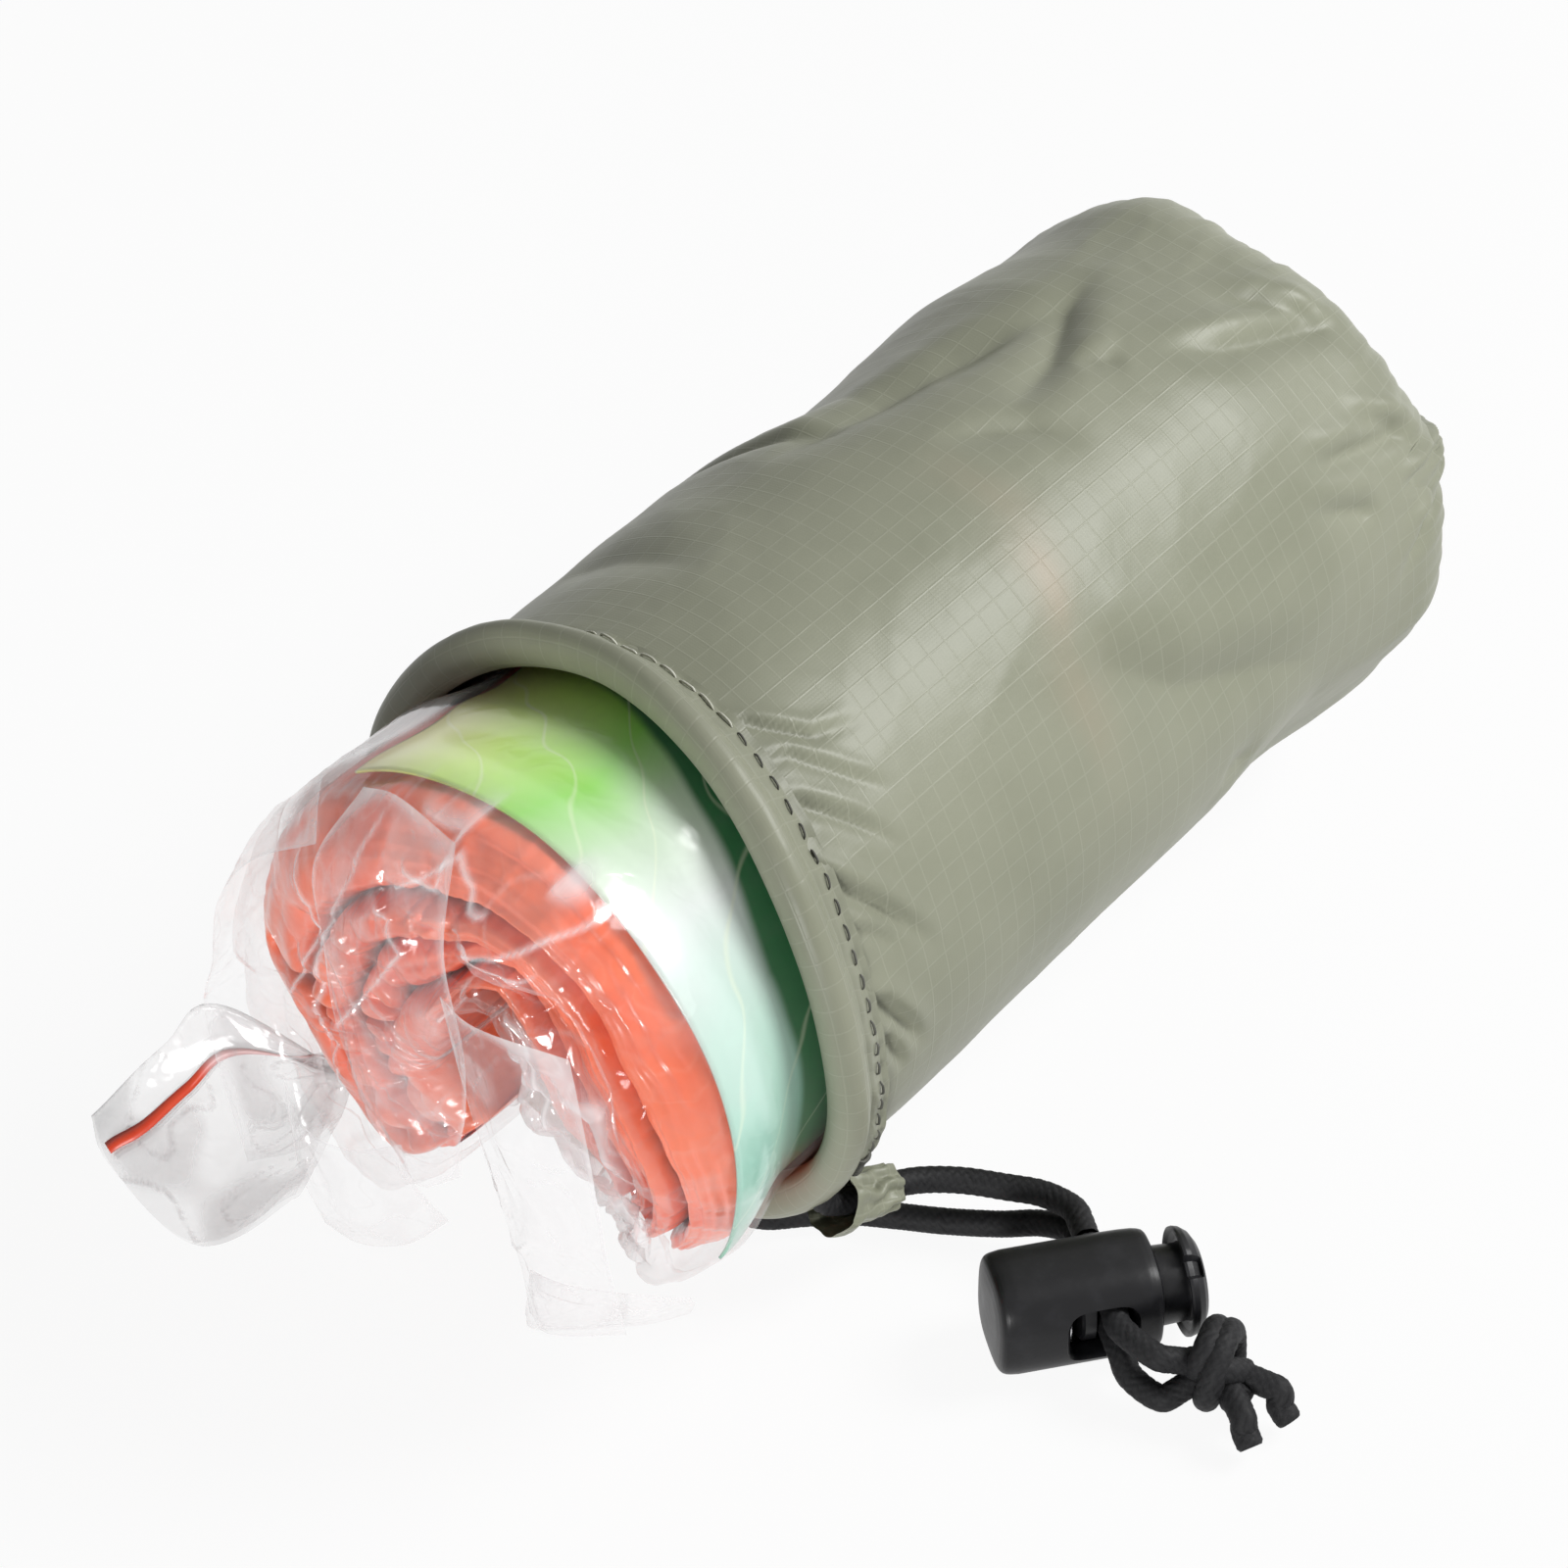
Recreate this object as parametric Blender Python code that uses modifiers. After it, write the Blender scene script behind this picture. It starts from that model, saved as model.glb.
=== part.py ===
# Emergency sleeping bag: an orange film bag, folded and packed in a clear zip bag,
# half pulled out of its drawstring stuff sack.
# While it is built, +X runs from the sack's mouth to its closed end, +Z is up and the floor
# is z = 0. Ring angles are in degrees about the sack's axis: 0 is +Y, 90 the top, 180 is -Y.
import math

import bmesh
import bpy
from mathutils import Matrix, Vector

MM = 0.001
GAP = 0.3 * MM  # between pieces that touch

# Stuff sack
FABRIC = 0.5 * MM
SACK_HALF_WIDTH = 36.0 * MM
SACK_HALF_HEIGHT = 37.8 * MM
UNDERSIDE_CUT = 1.0 * MM  # how much of the round section the floor presses flat
AXIS_Y = 0.5 * MM
MOUTH_X = -31.0 * MM  # the stitch line under the hem
SACK_LENGTH = 118.0 * MM  # from the stitch line to the closed end
END_ROUND = 15.0 * MM
END_BULGE = 2.0 * MM
RING_STEPS = 40
SACK_DENTS = (  # X, ring angle, spread along X, spread in degrees, depth in mm
    (29.0, 40.0, 13.0, 30.0, 1.5),
    (60.0, 46.0, 12.0, 24.0, 1.2),
    (52.0, 212.0, 16.0, 24.0, 2.8),
    (20.0, 212.0, 18.0, 24.0, 2.2),
    (36.0, 92.0, 12.0, 18.0, 1.2),
    (80.0, 98.0, 12.0, 26.0, 2.2),
    (84.0, 158.0, 14.0, 30.0, -1.4),
    (84.0, 215.0, 12.0, 18.0, 1.6),
)
MOUTH_LEAN = ((165.0, 48.0, -5.0 * MM), (85.0, 50.0, 1.5 * MM))  # ring angle, spread, shift in X

# Hem, with the tunnel for the cord
HEM_WIDTH = 8.5 * MM
HEM_PROUD = 2.4 * MM  # how far the hem stands out at the sides
HEM_PROUD_ABOVE = 1.2 * MM
HEM_STEPS = 44
THREAD = 0.7 * MM
STITCH_ANGLES = (300.0, 563.0)
BARTACK_ANGLES = (204.0, 211.0)
SEAM_ANGLE = 340.0  # the long seam, and one end of the seam across the closed end
SEAM_TAPE_WIDTH = 5.2 * MM
SEAM_TAPE = 0.8 * MM
TUCK_LENGTH = 15.0 * MM
TUCK_WIDTH = 9.0 * MM

# Drawcord
CORD = 3.2 * MM
CORD_ROOM = 0.3 * MM  # all round the cord in the tunnel
HEM_CORD_STEPS = (31, 70)  # the cord in the hem runs between these of HEM_STEPS, on past one turn
KNOT_RADIUS = 5.6 * MM

# Cord lock: its own X runs from the closed end of the barrel to the plunger's head
LOCK_END = Vector((-34.7, -50.7, 0.0)) * MM
LOCK_TURN = -38.1  # degrees about Z
BARREL_LENGTH = 19.0 * MM
BARREL_HEIGHT = 13.4 * MM
BARREL_DEPTH = 12.4 * MM
BARREL_FLOOR = 1.8 * MM  # wall at the closed end
BORE_RADIUS = 4.9 * MM
CORD_HOLE_AT = 11.8 * MM
CORD_HOLE_RADIUS = 3.7 * MM
PLUNGER_CLEARANCE = 0.25 * MM
PLUNGER_TRAVEL = 3.0 * MM
PLUNGER_OFFSET = 3.2 * MM  # how far its hole stands out of line with the barrel's at rest
PLUNGER_WEB = 1.6 * MM
HEAD_RADIUS = 6.4 * MM
HEAD_THICKNESS = 2.6 * MM
SPRING_WIRE = 0.8 * MM
SPRING_CURLS = 4

# Packet
PACKET_ROOM = 0.7 * MM  # all round the packet in the hem
PACKET_ROOM_IN_SACK = 2.6 * MM
PACKET_SWELL = 2.7 * MM  # how much wider it is in front of the mouth
SWELL_FROM = -44.0 * MM
SWELL_TO = -57.0 * MM
PACKET_RISE = 1.6 * MM  # of its axis over the sack's
CLEAR_FILM = 0.4 * MM
PACKET_FRONT = -70.0 * MM
PACKET_BACK = 78.0 * MM
RIGHT_LEG_END = 230.0  # ring angle
LEFT_LEG_END = -52.0
PACKET_STEPS = 24
PACKET_INNER = (  # ring angle, and the inner wall's radius there as a share of the outer one
    (-64, 0.08), (60, 0.08), (75, 0.12), (90, 0.24), (100, 0.4), (112, 0.5), (130, 0.43),
    (150, 0.35), (180, 0.36), (195, 0.43), (205, 0.5), (215, 0.57), (232, 0.59),
)
CARD_ZONE = 1.5 * MM  # the clear film, card and gaps, which keep their thickness all round
LEG_SHIFT = 7.7 * MM  # how far the left leg's end stands off the line through the axis
LEG_SHIFT_ANGLES = (-15.0, -52.0)
FOOT_SET_BACK = 7.0 * MM  # of the right leg's foot from the front
FOOT_ANGLES = (165.0, 230.0)
PACKET_TAPER = 4.5 * MM  # how much smaller its back end is, over the top and the right side
TAPER_FROM = 50.0 * MM
TAPER_ANGLES = (10.0, 40.0)
LEG_RECESS = 4.0 * MM  # room for the zip strip outside the left leg
RECESS_ANGLES = (-4.0, -24.0)
CARD = 0.4 * MM
CARD_FRONT = -58.0 * MM
CARD_LENGTH = 92.0 * MM
CARD_STEPS = (9, 22)  # of PACKET_STEPS, counted from the left leg's end
LAYERS = 4
LAYER = 3.1 * MM
LAYER_GAP = 0.7 * MM
NOSE = 4.5 * MM  # how far the outer layers are set back at the front

# Zip strip
STRIP_WIDTH = 33.0 * MM
STRIP_START = -8.0  # ring angle, inside the packet's outer wall
STRIP_THICKNESS = 3.0 * MM
STRIP_FRONT = -76.0 * MM
STRIP_BACK = 70.0 * MM
STRIP_OPEN_FROM = -44.5 * MM  # behind this the strip lies against the packet
STRIP_OPEN_TO = -71.0 * MM
STRIP_STATIONS = 10
STRIP_SUNK = 2 * GAP  # under the packet's round, so that the red line clears the hem
STRIP_ROOT_ANGLE = -33.0  # where its root lies in front of the mouth
STRIP_ROOT_DEPTH = 1.9 * MM
STRIP_SPREAD = (-50.0, -14.0)  # its slope there, at the root and at the open edge
ZIP_FROM_EDGE = 8.0 * MM
ZIP_RIB = 0.8 * MM
ZIP_WALL = 0.4 * MM
ZIP_FLAT = 2.4 * MM  # width of the strip that stays flat along the zip
ZIP_LINE_WIDTH = 1.4 * MM
TRACK_SHORT = 2.0 * MM  # of each end of the strip
RIB_SHORT = 3.0 * MM

AXIS_Z = SACK_HALF_HEIGHT - UNDERSIDE_CUT
END_X = MOUTH_X + SACK_LENGTH
HEM_HALF_THICKNESS = CORD / 2 + CORD_ROOM + FABRIC
HEM_OUTER_HALF_WIDTH = SACK_HALF_WIDTH + HEM_PROUD
HEM_OUTER_HALF_HEIGHT = SACK_HALF_HEIGHT + HEM_PROUD_ABOVE
PACKET_IN_HEM = min(HEM_OUTER_HALF_WIDTH, HEM_OUTER_HALF_HEIGHT) - 2 * HEM_HALF_THICKNESS
PACKET_RADIUS = min(PACKET_IN_HEM - PACKET_ROOM, SACK_HALF_WIDTH - FABRIC - PACKET_ROOM_IN_SACK)
PACKET_AXIS_Z = AXIS_Z + PACKET_RISE
SEAM_HALF_THICKNESS = FABRIC + GAP / 2
LOCK_HEIGHT = BARREL_HEIGHT / 2 + GAP

# Route points of the free cord, chosen by hand from the photo, in millimetres
UPPER_LEG = [
    (-37.6, -29.2, 14.0),
    (-33.9, -30.1, 11.8),
    (-29.2, -30.8, 10.3),
    (-24.8, -32.6, 9.2),
    (-21.2, -36.2, 8.6),
    (-18.6, -40.9, 8.4),
    (-16.9, -45.2, 8.6),
    (-17.0, -49.84, 8.8),
    (-19.62, -53.19, 8.8),
]
LOWER_LEG = [
    (-36.9, -15.4, 3.1),
    (-35.0, -18.4, 2.2),
    (-31.6, -21.4, 1.85),
    (-28.2, -25.2, 1.85),
    (-25.4, -29.8, 1.9),
    (-22.6, -35.2, 2.2),
    (-19.6, -40.9, 3.0),
    (-17.3, -45.4, 4.2),
    (-17.0, -49.84, 5.2),
    (-19.62, -53.19, 5.2),
]
UPPER_STRAND = [
    (-19.8, -53.42, 8.8),
    (-22.3, -56.6, 8.8),
    (-26.6, -62.05, 8.8),
    (-28.5, -64.6, 8.7),
]
LOWER_STRAND = [
    (-19.8, -53.42, 5.2),
    (-22.3, -56.6, 5.2),
    (-26.6, -62.05, 5.2),
    (-28.6, -64.75, 5.0),
    (-30.0, -67.3, 3.8),
]
KNOT_WAYS = {  # from the knot's middle to each stretch that leaves it
    "upper_strand": (-3.7, 3.2, 1.7),
    "lower_strand": (-4.4, 2.2, -1.9),
    "upper_tail": (1.1, -5.0, -0.4),
    "lower_tail": (-2.7, -4.2, -0.7),
}
UPPER_TAIL = [(-22.8, -82.8, 3.4), (-23.0, -84.4, 2.2)]
LOWER_TAIL = [(-28.3, -81.8, 3.3), (-28.9, -83.2, 2.2)]
KNOT_AT = Vector((-23.8, -74.9, 0.0)) * MM + Vector((0, 0, KNOT_RADIUS + GAP))
UPPER_EXIT_LENGTH = 9.0 * MM  # how far each leg's opening in the hem reaches along it
LOWER_EXIT_LENGTH = 10.5 * MM
OUTLET_SPAN = (9.5 * MM, 16.5 * MM)  # the gathered outlet, measured along the upper leg
OUTLET_WALL = 0.6 * MM


# Scene, collections and materials


def clear_scene():
    for item in list(bpy.data.objects):
        bpy.data.objects.remove(item, do_unlink=True)


def add_collection(name, hidden=False):
    group = bpy.data.collections.new(name)
    group.hide_render = hidden
    bpy.context.scene.collection.children.link(group)
    return group


def make_material(name, colour, roughness, metallic=0.0):
    material = bpy.data.materials.new(name)
    material.use_nodes = True
    shader = material.node_tree.nodes["Principled BSDF"]
    shader.inputs["Base Color"].default_value = (*colour, 1.0)
    shader.inputs["Roughness"].default_value = roughness
    shader.inputs["Metallic"].default_value = metallic
    return material


def add_object(name, mesh, material):
    item = bpy.data.objects.new(name, mesh)
    PARTS.objects.link(item)
    if material:
        mesh.materials.append(material)
    return item


def add_cutter(name, mesh):
    item = bpy.data.objects.new(name, mesh)
    CUTTERS.objects.link(item)
    item.hide_render = True
    item.display_type = "WIRE"
    return item


def boolean(target, other, operation="DIFFERENCE"):
    modifier = target.modifiers.new(operation.title() + "_" + other.name, "BOOLEAN")
    modifier.operation = operation
    modifier.solver = "EXACT"
    modifier.object = other


def shade(item, angle=35.0):
    item.data.shade_smooth()
    item.data.set_sharp_from_angle(angle=math.radians(angle))


# Mesh makers


def loft(name, rings, cap_start=True, cap_end=True, close_rings=True, wrap=False):
    """A skin through rings of equal length. Caps are fans round each end ring's middle."""
    mesh = bmesh.new()
    rows = [[mesh.verts.new(point) for point in ring] for ring in rings]
    pairs = list(zip(rows, rows[1:] + rows[:1] if wrap else rows[1:]))
    for first, second in pairs:
        count = len(first)
        for i in range(count if close_rings else count - 1):
            j = (i + 1) % count
            mesh.faces.new((first[i], first[j], second[j], second[i]))
    for row, wanted in ((rows[0], cap_start), (rows[-1], cap_end)):
        if wanted and not wrap:
            mesh.faces.new(row)
    bmesh.ops.triangulate(mesh, faces=[face for face in mesh.faces if len(face.verts) > 4])
    bmesh.ops.recalc_face_normals(mesh, faces=mesh.faces)
    data = bpy.data.meshes.new(name)
    mesh.to_mesh(data)
    mesh.free()
    return data


def smooth_route(points, step):
    """Points about a step apart through the route's own points; its end stretches are straight."""
    points = [Vector(point) for point in points]
    fine = []
    for a, b, c, d in zip(points, points[1:], points[2:], points[3:]):
        for k in range(12):
            t = k / 12
            bend = (2 * a - 5 * b + 4 * c - d) * t**2 + (3 * b - a - 3 * c + d) * t**3
            fine.append((2 * b + (c - a) * t + bend) / 2)
    fine.append(points[-2])
    length = sum((q - p).length for p, q in zip(fine, fine[1:]))
    count = max(1, round(length / step))
    route, done, k = [], 0.0, 1
    for p, q in zip(fine, fine[1:]):
        span = (q - p).length
        while k < count and length * k / count <= done + span:
            route.append(p.lerp(q, (length * k / count - done) / span))
            k += 1
        done += span
    return [points[0], points[1], *route, points[-2], points[-1]]


def tube_curve(name, route, radius, resolution=2):
    curve = bpy.data.curves.new(name, "CURVE")
    curve.dimensions = "3D"
    curve.bevel_depth = radius
    curve.bevel_resolution = resolution
    curve.use_fill_caps = True
    spline = curve.splines.new("POLY")
    spline.points.add(len(route) - 1)
    for point, place in zip(spline.points, route):
        point.co = (*place, 1.0)
    return curve


def add_tube(name, route, radius, material, resolution=2):
    curve = tube_curve(name, route, radius, resolution)
    curve.materials.append(material)
    item = bpy.data.objects.new(name, curve)
    PARTS.objects.link(item)
    return item


def tube_mesh(name, route, radius, resolution=2):
    """The same tube as a welded mesh, for cutting."""
    helper = bpy.data.objects.new(name + "_curve", tube_curve(name, route, radius, resolution))
    CUTTERS.objects.link(helper)
    bpy.context.view_layer.update()
    evaluated = helper.evaluated_get(bpy.context.evaluated_depsgraph_get())
    data = bpy.data.meshes.new_from_object(evaluated)
    bpy.data.objects.remove(helper, do_unlink=True)
    mesh = bmesh.new()
    mesh.from_mesh(data)
    bmesh.ops.remove_doubles(mesh, verts=mesh.verts, dist=1e-6)
    bmesh.ops.recalc_face_normals(mesh, faces=mesh.faces)
    mesh.to_mesh(data)
    mesh.free()
    return data


def in_metres(points):
    return [Vector(point) * MM for point in points]


def smoothstep(value):
    value = min(1.0, max(0.0, value))
    return value * value * (3 - 2 * value)


# Stuff sack


def mouth_shift(angle):
    total = 0.0
    for centre, spread, shift in MOUTH_LEAN:
        off = (angle - centre + 180) % 360 - 180
        total += shift * math.exp(-((off / spread) ** 2))
    return total


def dent(x, angle):
    """How far the soft wall sags in here, from the few broad hollows of SACK_DENTS."""
    total = 0.0
    for at, centre, length, spread, depth in SACK_DENTS:
        off = (angle - centre + 180) % 360 - 180
        total += depth * MM * math.exp(-(((x / MM - at) / length) ** 2) - (off / spread) ** 2)
    return total * smoothstep((x - MOUTH_X) / (14 * MM))


def sack_point(x, angle, inset=0.0):
    """A point of the sack's outer skin; the floor presses its underside flat."""
    inset += dent(x, angle)
    turn = math.radians(angle)
    y = AXIS_Y + (SACK_HALF_WIDTH - inset) * math.cos(turn)
    z = AXIS_Z + (SACK_HALF_HEIGHT - inset) * math.sin(turn)
    return Vector((x, y, max(z, 0.0)))


def build_sack_body():
    angles = [360 * k / RING_STEPS for k in range(RING_STEPS)]
    rings = []
    shoulder = END_X - END_ROUND
    for along in (0.0, 0.08, 0.2, 0.34, 0.48, 0.62, 0.76, 0.88, 1.0):
        x = MOUTH_X + (shoulder - MOUTH_X) * along
        rings.append([sack_point(x + mouth_shift(a) * (1 - along) ** 3, a) for a in angles])
    for k in range(1, 6):
        turn = math.radians(18 * k)
        inset = END_ROUND * (1 - math.cos(turn))
        rings.append([sack_point(shoulder + END_ROUND * math.sin(turn), a, inset) for a in angles])
    for share in (0.45, 0.12):
        inset = SACK_HALF_WIDTH - (SACK_HALF_WIDTH - END_ROUND) * share
        x = END_X + END_BULGE * (1 - share**2)
        rings.append([sack_point(x, a, inset) for a in angles])
    sack = add_object("sack_body", loft("sack_body", rings, cap_start=False), RIPSTOP)
    wall = sack.modifiers.new("Wall", "SOLIDIFY")
    wall.thickness = FABRIC
    wall.offset = -1.0
    shade(sack)
    return sack


def hem_half_thickness(along):
    share = smoothstep(along / (0.55 * HEM_WIDTH))
    return SEAM_HALF_THICKNESS + (HEM_HALF_THICKNESS - SEAM_HALF_THICKNESS) * share


def hem_point(angle, along, out):
    """A point out from the hem's middle surface, along mm in front of the stitch line."""
    turn = math.radians(angle)
    share = smoothstep(along / (0.55 * HEM_WIDTH))
    stitch_width = SACK_HALF_WIDTH - FABRIC / 2
    stitch_height = SACK_HALF_HEIGHT - FABRIC / 2
    rim_width = HEM_OUTER_HALF_WIDTH - HEM_HALF_THICKNESS
    rim_height = HEM_OUTER_HALF_HEIGHT - HEM_HALF_THICKNESS
    half_width = stitch_width + (rim_width - stitch_width) * share
    half_height = stitch_height + (rim_height - stitch_height) * share
    middle_z = AXIS_Z + (HEM_OUTER_HALF_HEIGHT - AXIS_Z) * share
    z = max(middle_z + half_height * math.sin(turn), hem_half_thickness(along))
    x = MOUTH_X - GAP - along + mouth_shift(angle)
    return Vector((x, AXIS_Y + (half_width + out) * math.cos(turn), z + out * math.sin(turn)))


def hem_profile(inset):
    """Half of the hem's section, from the stitch line over the rim and back inside."""
    nose = HEM_HALF_THICKNESS
    points = []
    for along in (0.0, 0.3, 0.6):
        points.append((along * HEM_WIDTH, hem_half_thickness(along * HEM_WIDTH) - inset))
    for turn in (45, 0, -45):
        reach = nose - inset
        points.append(
            (
                HEM_WIDTH - nose + reach * math.cos(math.radians(turn)),
                reach * math.sin(math.radians(turn)),
            )
        )
    points += [(along, -out) for along, out in reversed(points[:3])]
    return points


def build_hem(exits):
    profile = hem_profile(0.0) + list(reversed(hem_profile(FABRIC)))
    rings = []
    for k in range(HEM_STEPS):
        angle = 360 * k / HEM_STEPS
        rings.append([hem_point(angle, along, out) for along, out in profile])
    hem = add_object("hem_casing", loft("hem_casing", rings, wrap=True), RIPSTOP)
    for name, route in exits:
        boolean(hem, add_cutter(name, tube_mesh(name, route, CORD / 2 + CORD_ROOM)))
    shade(hem)
    return hem


def build_stitching():
    along = 0.1 * HEM_WIDTH
    out = hem_half_thickness(along) + 2.5 * GAP + THREAD / 2
    start, end = STITCH_ANGLES
    count = round((end - start) / 360 * HEM_STEPS)
    angles = [start + (end - start) * k / count for k in range(count + 1)]
    route = [hem_point(angle, along, out) for angle in angles]
    add_tube("hem_stitching", route, THREAD / 2, THREAD_LIGHT, 1)


def add_sheet(name, rows, thickness, material):
    """A sheet through rows of points on its middle surface."""
    item = add_object(name, loft(name, rows, False, False, close_rings=False), material)
    wall = item.modifiers.new("Thickness", "SOLIDIFY")
    wall.thickness = thickness
    wall.offset = 0.0
    shade(item)
    return item


def build_bartack():
    rows = []
    lift = GAP + THREAD / 2
    for k in range(4):
        angle = BARTACK_ANGLES[0] + (BARTACK_ANGLES[1] - BARTACK_ANGLES[0]) * k / 3
        cells = []
        for share in (0.0, 0.2, 0.4):
            along = share * HEM_WIDTH
            cells.append(hem_point(angle, along, hem_half_thickness(along) + lift))
        rows.append(cells)
    add_sheet("hem_bartack", rows, THREAD, THREAD_DARK)


def end_point(inset, angle, aside, out):
    """A point over the closed end: inset from the sack's side, aside along the end's plane."""
    turn = math.radians(angle)
    if inset <= END_ROUND:
        up = math.acos(1 - inset / END_ROUND)
        x = END_X - END_ROUND + END_ROUND * math.sin(up)
        normal = Vector((math.sin(up), math.cos(up) * math.cos(turn), math.cos(up) * math.sin(turn)))
    else:
        share = (SACK_HALF_WIDTH - inset) / (SACK_HALF_WIDTH - END_ROUND)
        x = END_X + END_BULGE * (1 - share**2)
        normal = Vector((1, 0, 0))
    point = sack_point(x, angle, inset) + normal * out
    return point + Vector((0, -math.sin(turn), math.cos(turn))) * aside


def build_seams():
    half = math.degrees(SEAM_TAPE_WIDTH / 2 / SACK_HALF_WIDTH)
    lift = GAP + SEAM_TAPE / 2
    start = MOUTH_X + 2 * MM
    stop = END_X - END_ROUND - MM
    rows = []
    for k in range(7):
        x = start + (stop - start) * k / 6
        rows.append([sack_point(x, SEAM_ANGLE + turn, -lift) for turn in (-half, 0, half)])
    add_sheet("side_seam", rows, SEAM_TAPE, RIPSTOP)
    rows = []
    reach = SACK_HALF_WIDTH - TUCK_LENGTH
    for k in range(9):
        along = reach * (k - 4) / 4
        angle = SEAM_ANGLE if along >= 0 else SEAM_ANGLE - 180
        side = 1 if along >= 0 else -1
        cells = []
        for aside in (-SEAM_TAPE_WIDTH / 2, 0, SEAM_TAPE_WIDTH / 2):
            cells.append(end_point(SACK_HALF_WIDTH - abs(along), angle, side * aside, lift + GAP / 2))
        rows.append(cells)
    add_sheet("bottom_seam", rows, SEAM_TAPE, RIPSTOP)


def build_tuck(name, angle):
    """A folded corner: three pleats that fan out over the rounded end."""
    rows = []
    for k in range(7):
        inset = TUCK_LENGTH * (1 - k / 6) - GAP
        spread = 0.25 + 0.75 * k / 6
        cells = []
        for i in range(7):
            across = (i - 3) / 3
            pleat = 0.35 * MM * (1 + math.cos(3 * math.pi * across))
            lift = 1.8 * GAP + SEAM_TAPE / 2 + pleat * (1 - k / 6) + 0.1 * MM
            cells.append(end_point(max(inset, 0), angle, across * spread * TUCK_WIDTH / 2, lift))
        rows.append(cells)
    add_sheet(name, rows, SEAM_TAPE, RIPSTOP)


# Drawcord


def hem_cord_route():
    start, end = HEM_CORD_STEPS
    along = HEM_WIDTH - HEM_HALF_THICKNESS
    return [hem_point(360 * k / HEM_STEPS, along, 0.0) for k in range(start, end + 1)]


def route_part(route, start, end):
    """The points of a route between two distances along it."""
    part, done = [], 0.0
    for p, q in zip(route, route[1:]):
        span = (q - p).length
        if done + span > start and done < end:
            first = max(0.0, (start - done) / span)
            part.append(p.lerp(q, first))
        done += span
        if done >= end:
            part.append(q.lerp(p, (done - end) / span))
            break
    return part


def from_hem(route, turned):
    """The first points of a leg, in line with the end of the cord in the hem."""
    end, before = (route[-1], route[-2]) if turned else (route[0], route[1])
    way = (end - before).normalized()
    return [end + way * GAP, end + way * CORD / 2]


def at_knot(name):
    """Two points in line with the knot's middle, the nearer one just off it."""
    way = Vector(KNOT_WAYS[name]).normalized()
    return [KNOT_AT + way * (KNOT_RADIUS + GAP), KNOT_AT + way * (KNOT_RADIUS + CORD / 2)]


def build_cords():
    in_hem = hem_cord_route()
    add_tube("drawcord_in_hem", in_hem, CORD / 2, BRAID)
    stretches = {
        "drawcord_leg_upper": (from_hem(in_hem, True) + in_metres(UPPER_LEG), 1.5 * CORD),
        "drawcord_leg_lower": (from_hem(in_hem, False) + in_metres(LOWER_LEG), 1.5 * CORD),
        "drawcord_strand_upper": (in_metres(UPPER_STRAND) + at_knot("upper_strand")[::-1], CORD),
        "drawcord_strand_lower": (in_metres(LOWER_STRAND) + at_knot("lower_strand")[::-1], CORD),
        "drawcord_tail_upper": (at_knot("upper_tail") + in_metres(UPPER_TAIL), CORD / 2),
        "drawcord_tail_lower": (at_knot("lower_tail") + in_metres(LOWER_TAIL), CORD / 2),
    }
    routes = {}
    for name, (points, step) in stretches.items():
        routes[name] = smooth_route(points, step)
        add_tube(name, routes[name], CORD / 2, BRAID)
    return routes


def exit_route(leg, length):
    """A leg's first stretch, begun a little inside the tunnel, to cut its way out of the hem."""
    back = (leg[0] - leg[1]).normalized() * CORD / 4
    return [leg[0] + back, *route_part(leg, 0.0, length)]


def build_knot():
    mesh = bmesh.new()
    bmesh.ops.create_uvsphere(mesh, u_segments=14, v_segments=8, radius=KNOT_RADIUS)
    data = bpy.data.meshes.new("drawcord_knot")
    mesh.to_mesh(data)
    mesh.free()
    knot = add_object("drawcord_knot", data, BRAID)
    knot.location = KNOT_AT
    shade(knot, 60)


def build_outlet(leg):
    """The gathered sleeve of fabric round the upper leg, just outside the hem."""
    sleeve = route_part(leg, *OUTLET_SPAN)
    bore = CORD / 2 + CORD_ROOM
    data = tube_mesh("cord_outlet", sleeve, bore + OUTLET_WALL)
    outlet = add_object("cord_outlet", data, RIPSTOP)
    inner = route_part(leg, OUTLET_SPAN[0] - 2 * MM, OUTLET_SPAN[1] + 2 * MM)
    boolean(outlet, add_cutter("cord_outlet_bore", tube_mesh("cord_outlet_bore", inner, bore)))
    shade(outlet)


# Cord lock, in its own frame: X along the barrel, Y along the cord hole


def squircle(x, half_depth, half_height, power=2.6, count=24):
    ring = []
    for k in range(count):
        turn = 2 * math.pi * k / count
        c, s = math.cos(turn), math.sin(turn)
        y = half_depth * math.copysign(abs(c) ** (2 / power), c)
        z = half_height * math.copysign(abs(s) ** (2 / power), s)
        ring.append(Vector((x, y, z)))
    return ring


def cylinder_mesh(name, start, end, radius, count=24):
    return loft(name, [squircle(x, radius, radius, 2.0, count) for x in (start, end)])


def cord_hole_mesh(name, at):
    """A square hole with rounded corners, right through along Y."""
    half = BARREL_DEPTH
    rings = []
    for y in (-half, half):
        ring = []
        for k in range(16):
            turn = 2 * math.pi * (k + 0.5) / 16
            c, s = math.cos(turn), math.sin(turn)
            x = CORD_HOLE_RADIUS * math.copysign(abs(c) ** 0.5, c)
            z = CORD_HOLE_RADIUS * math.copysign(abs(s) ** 0.5, s)
            ring.append(Vector((at + x, y, z)))
        rings.append(ring)
    return loft(name, rings)


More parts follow.
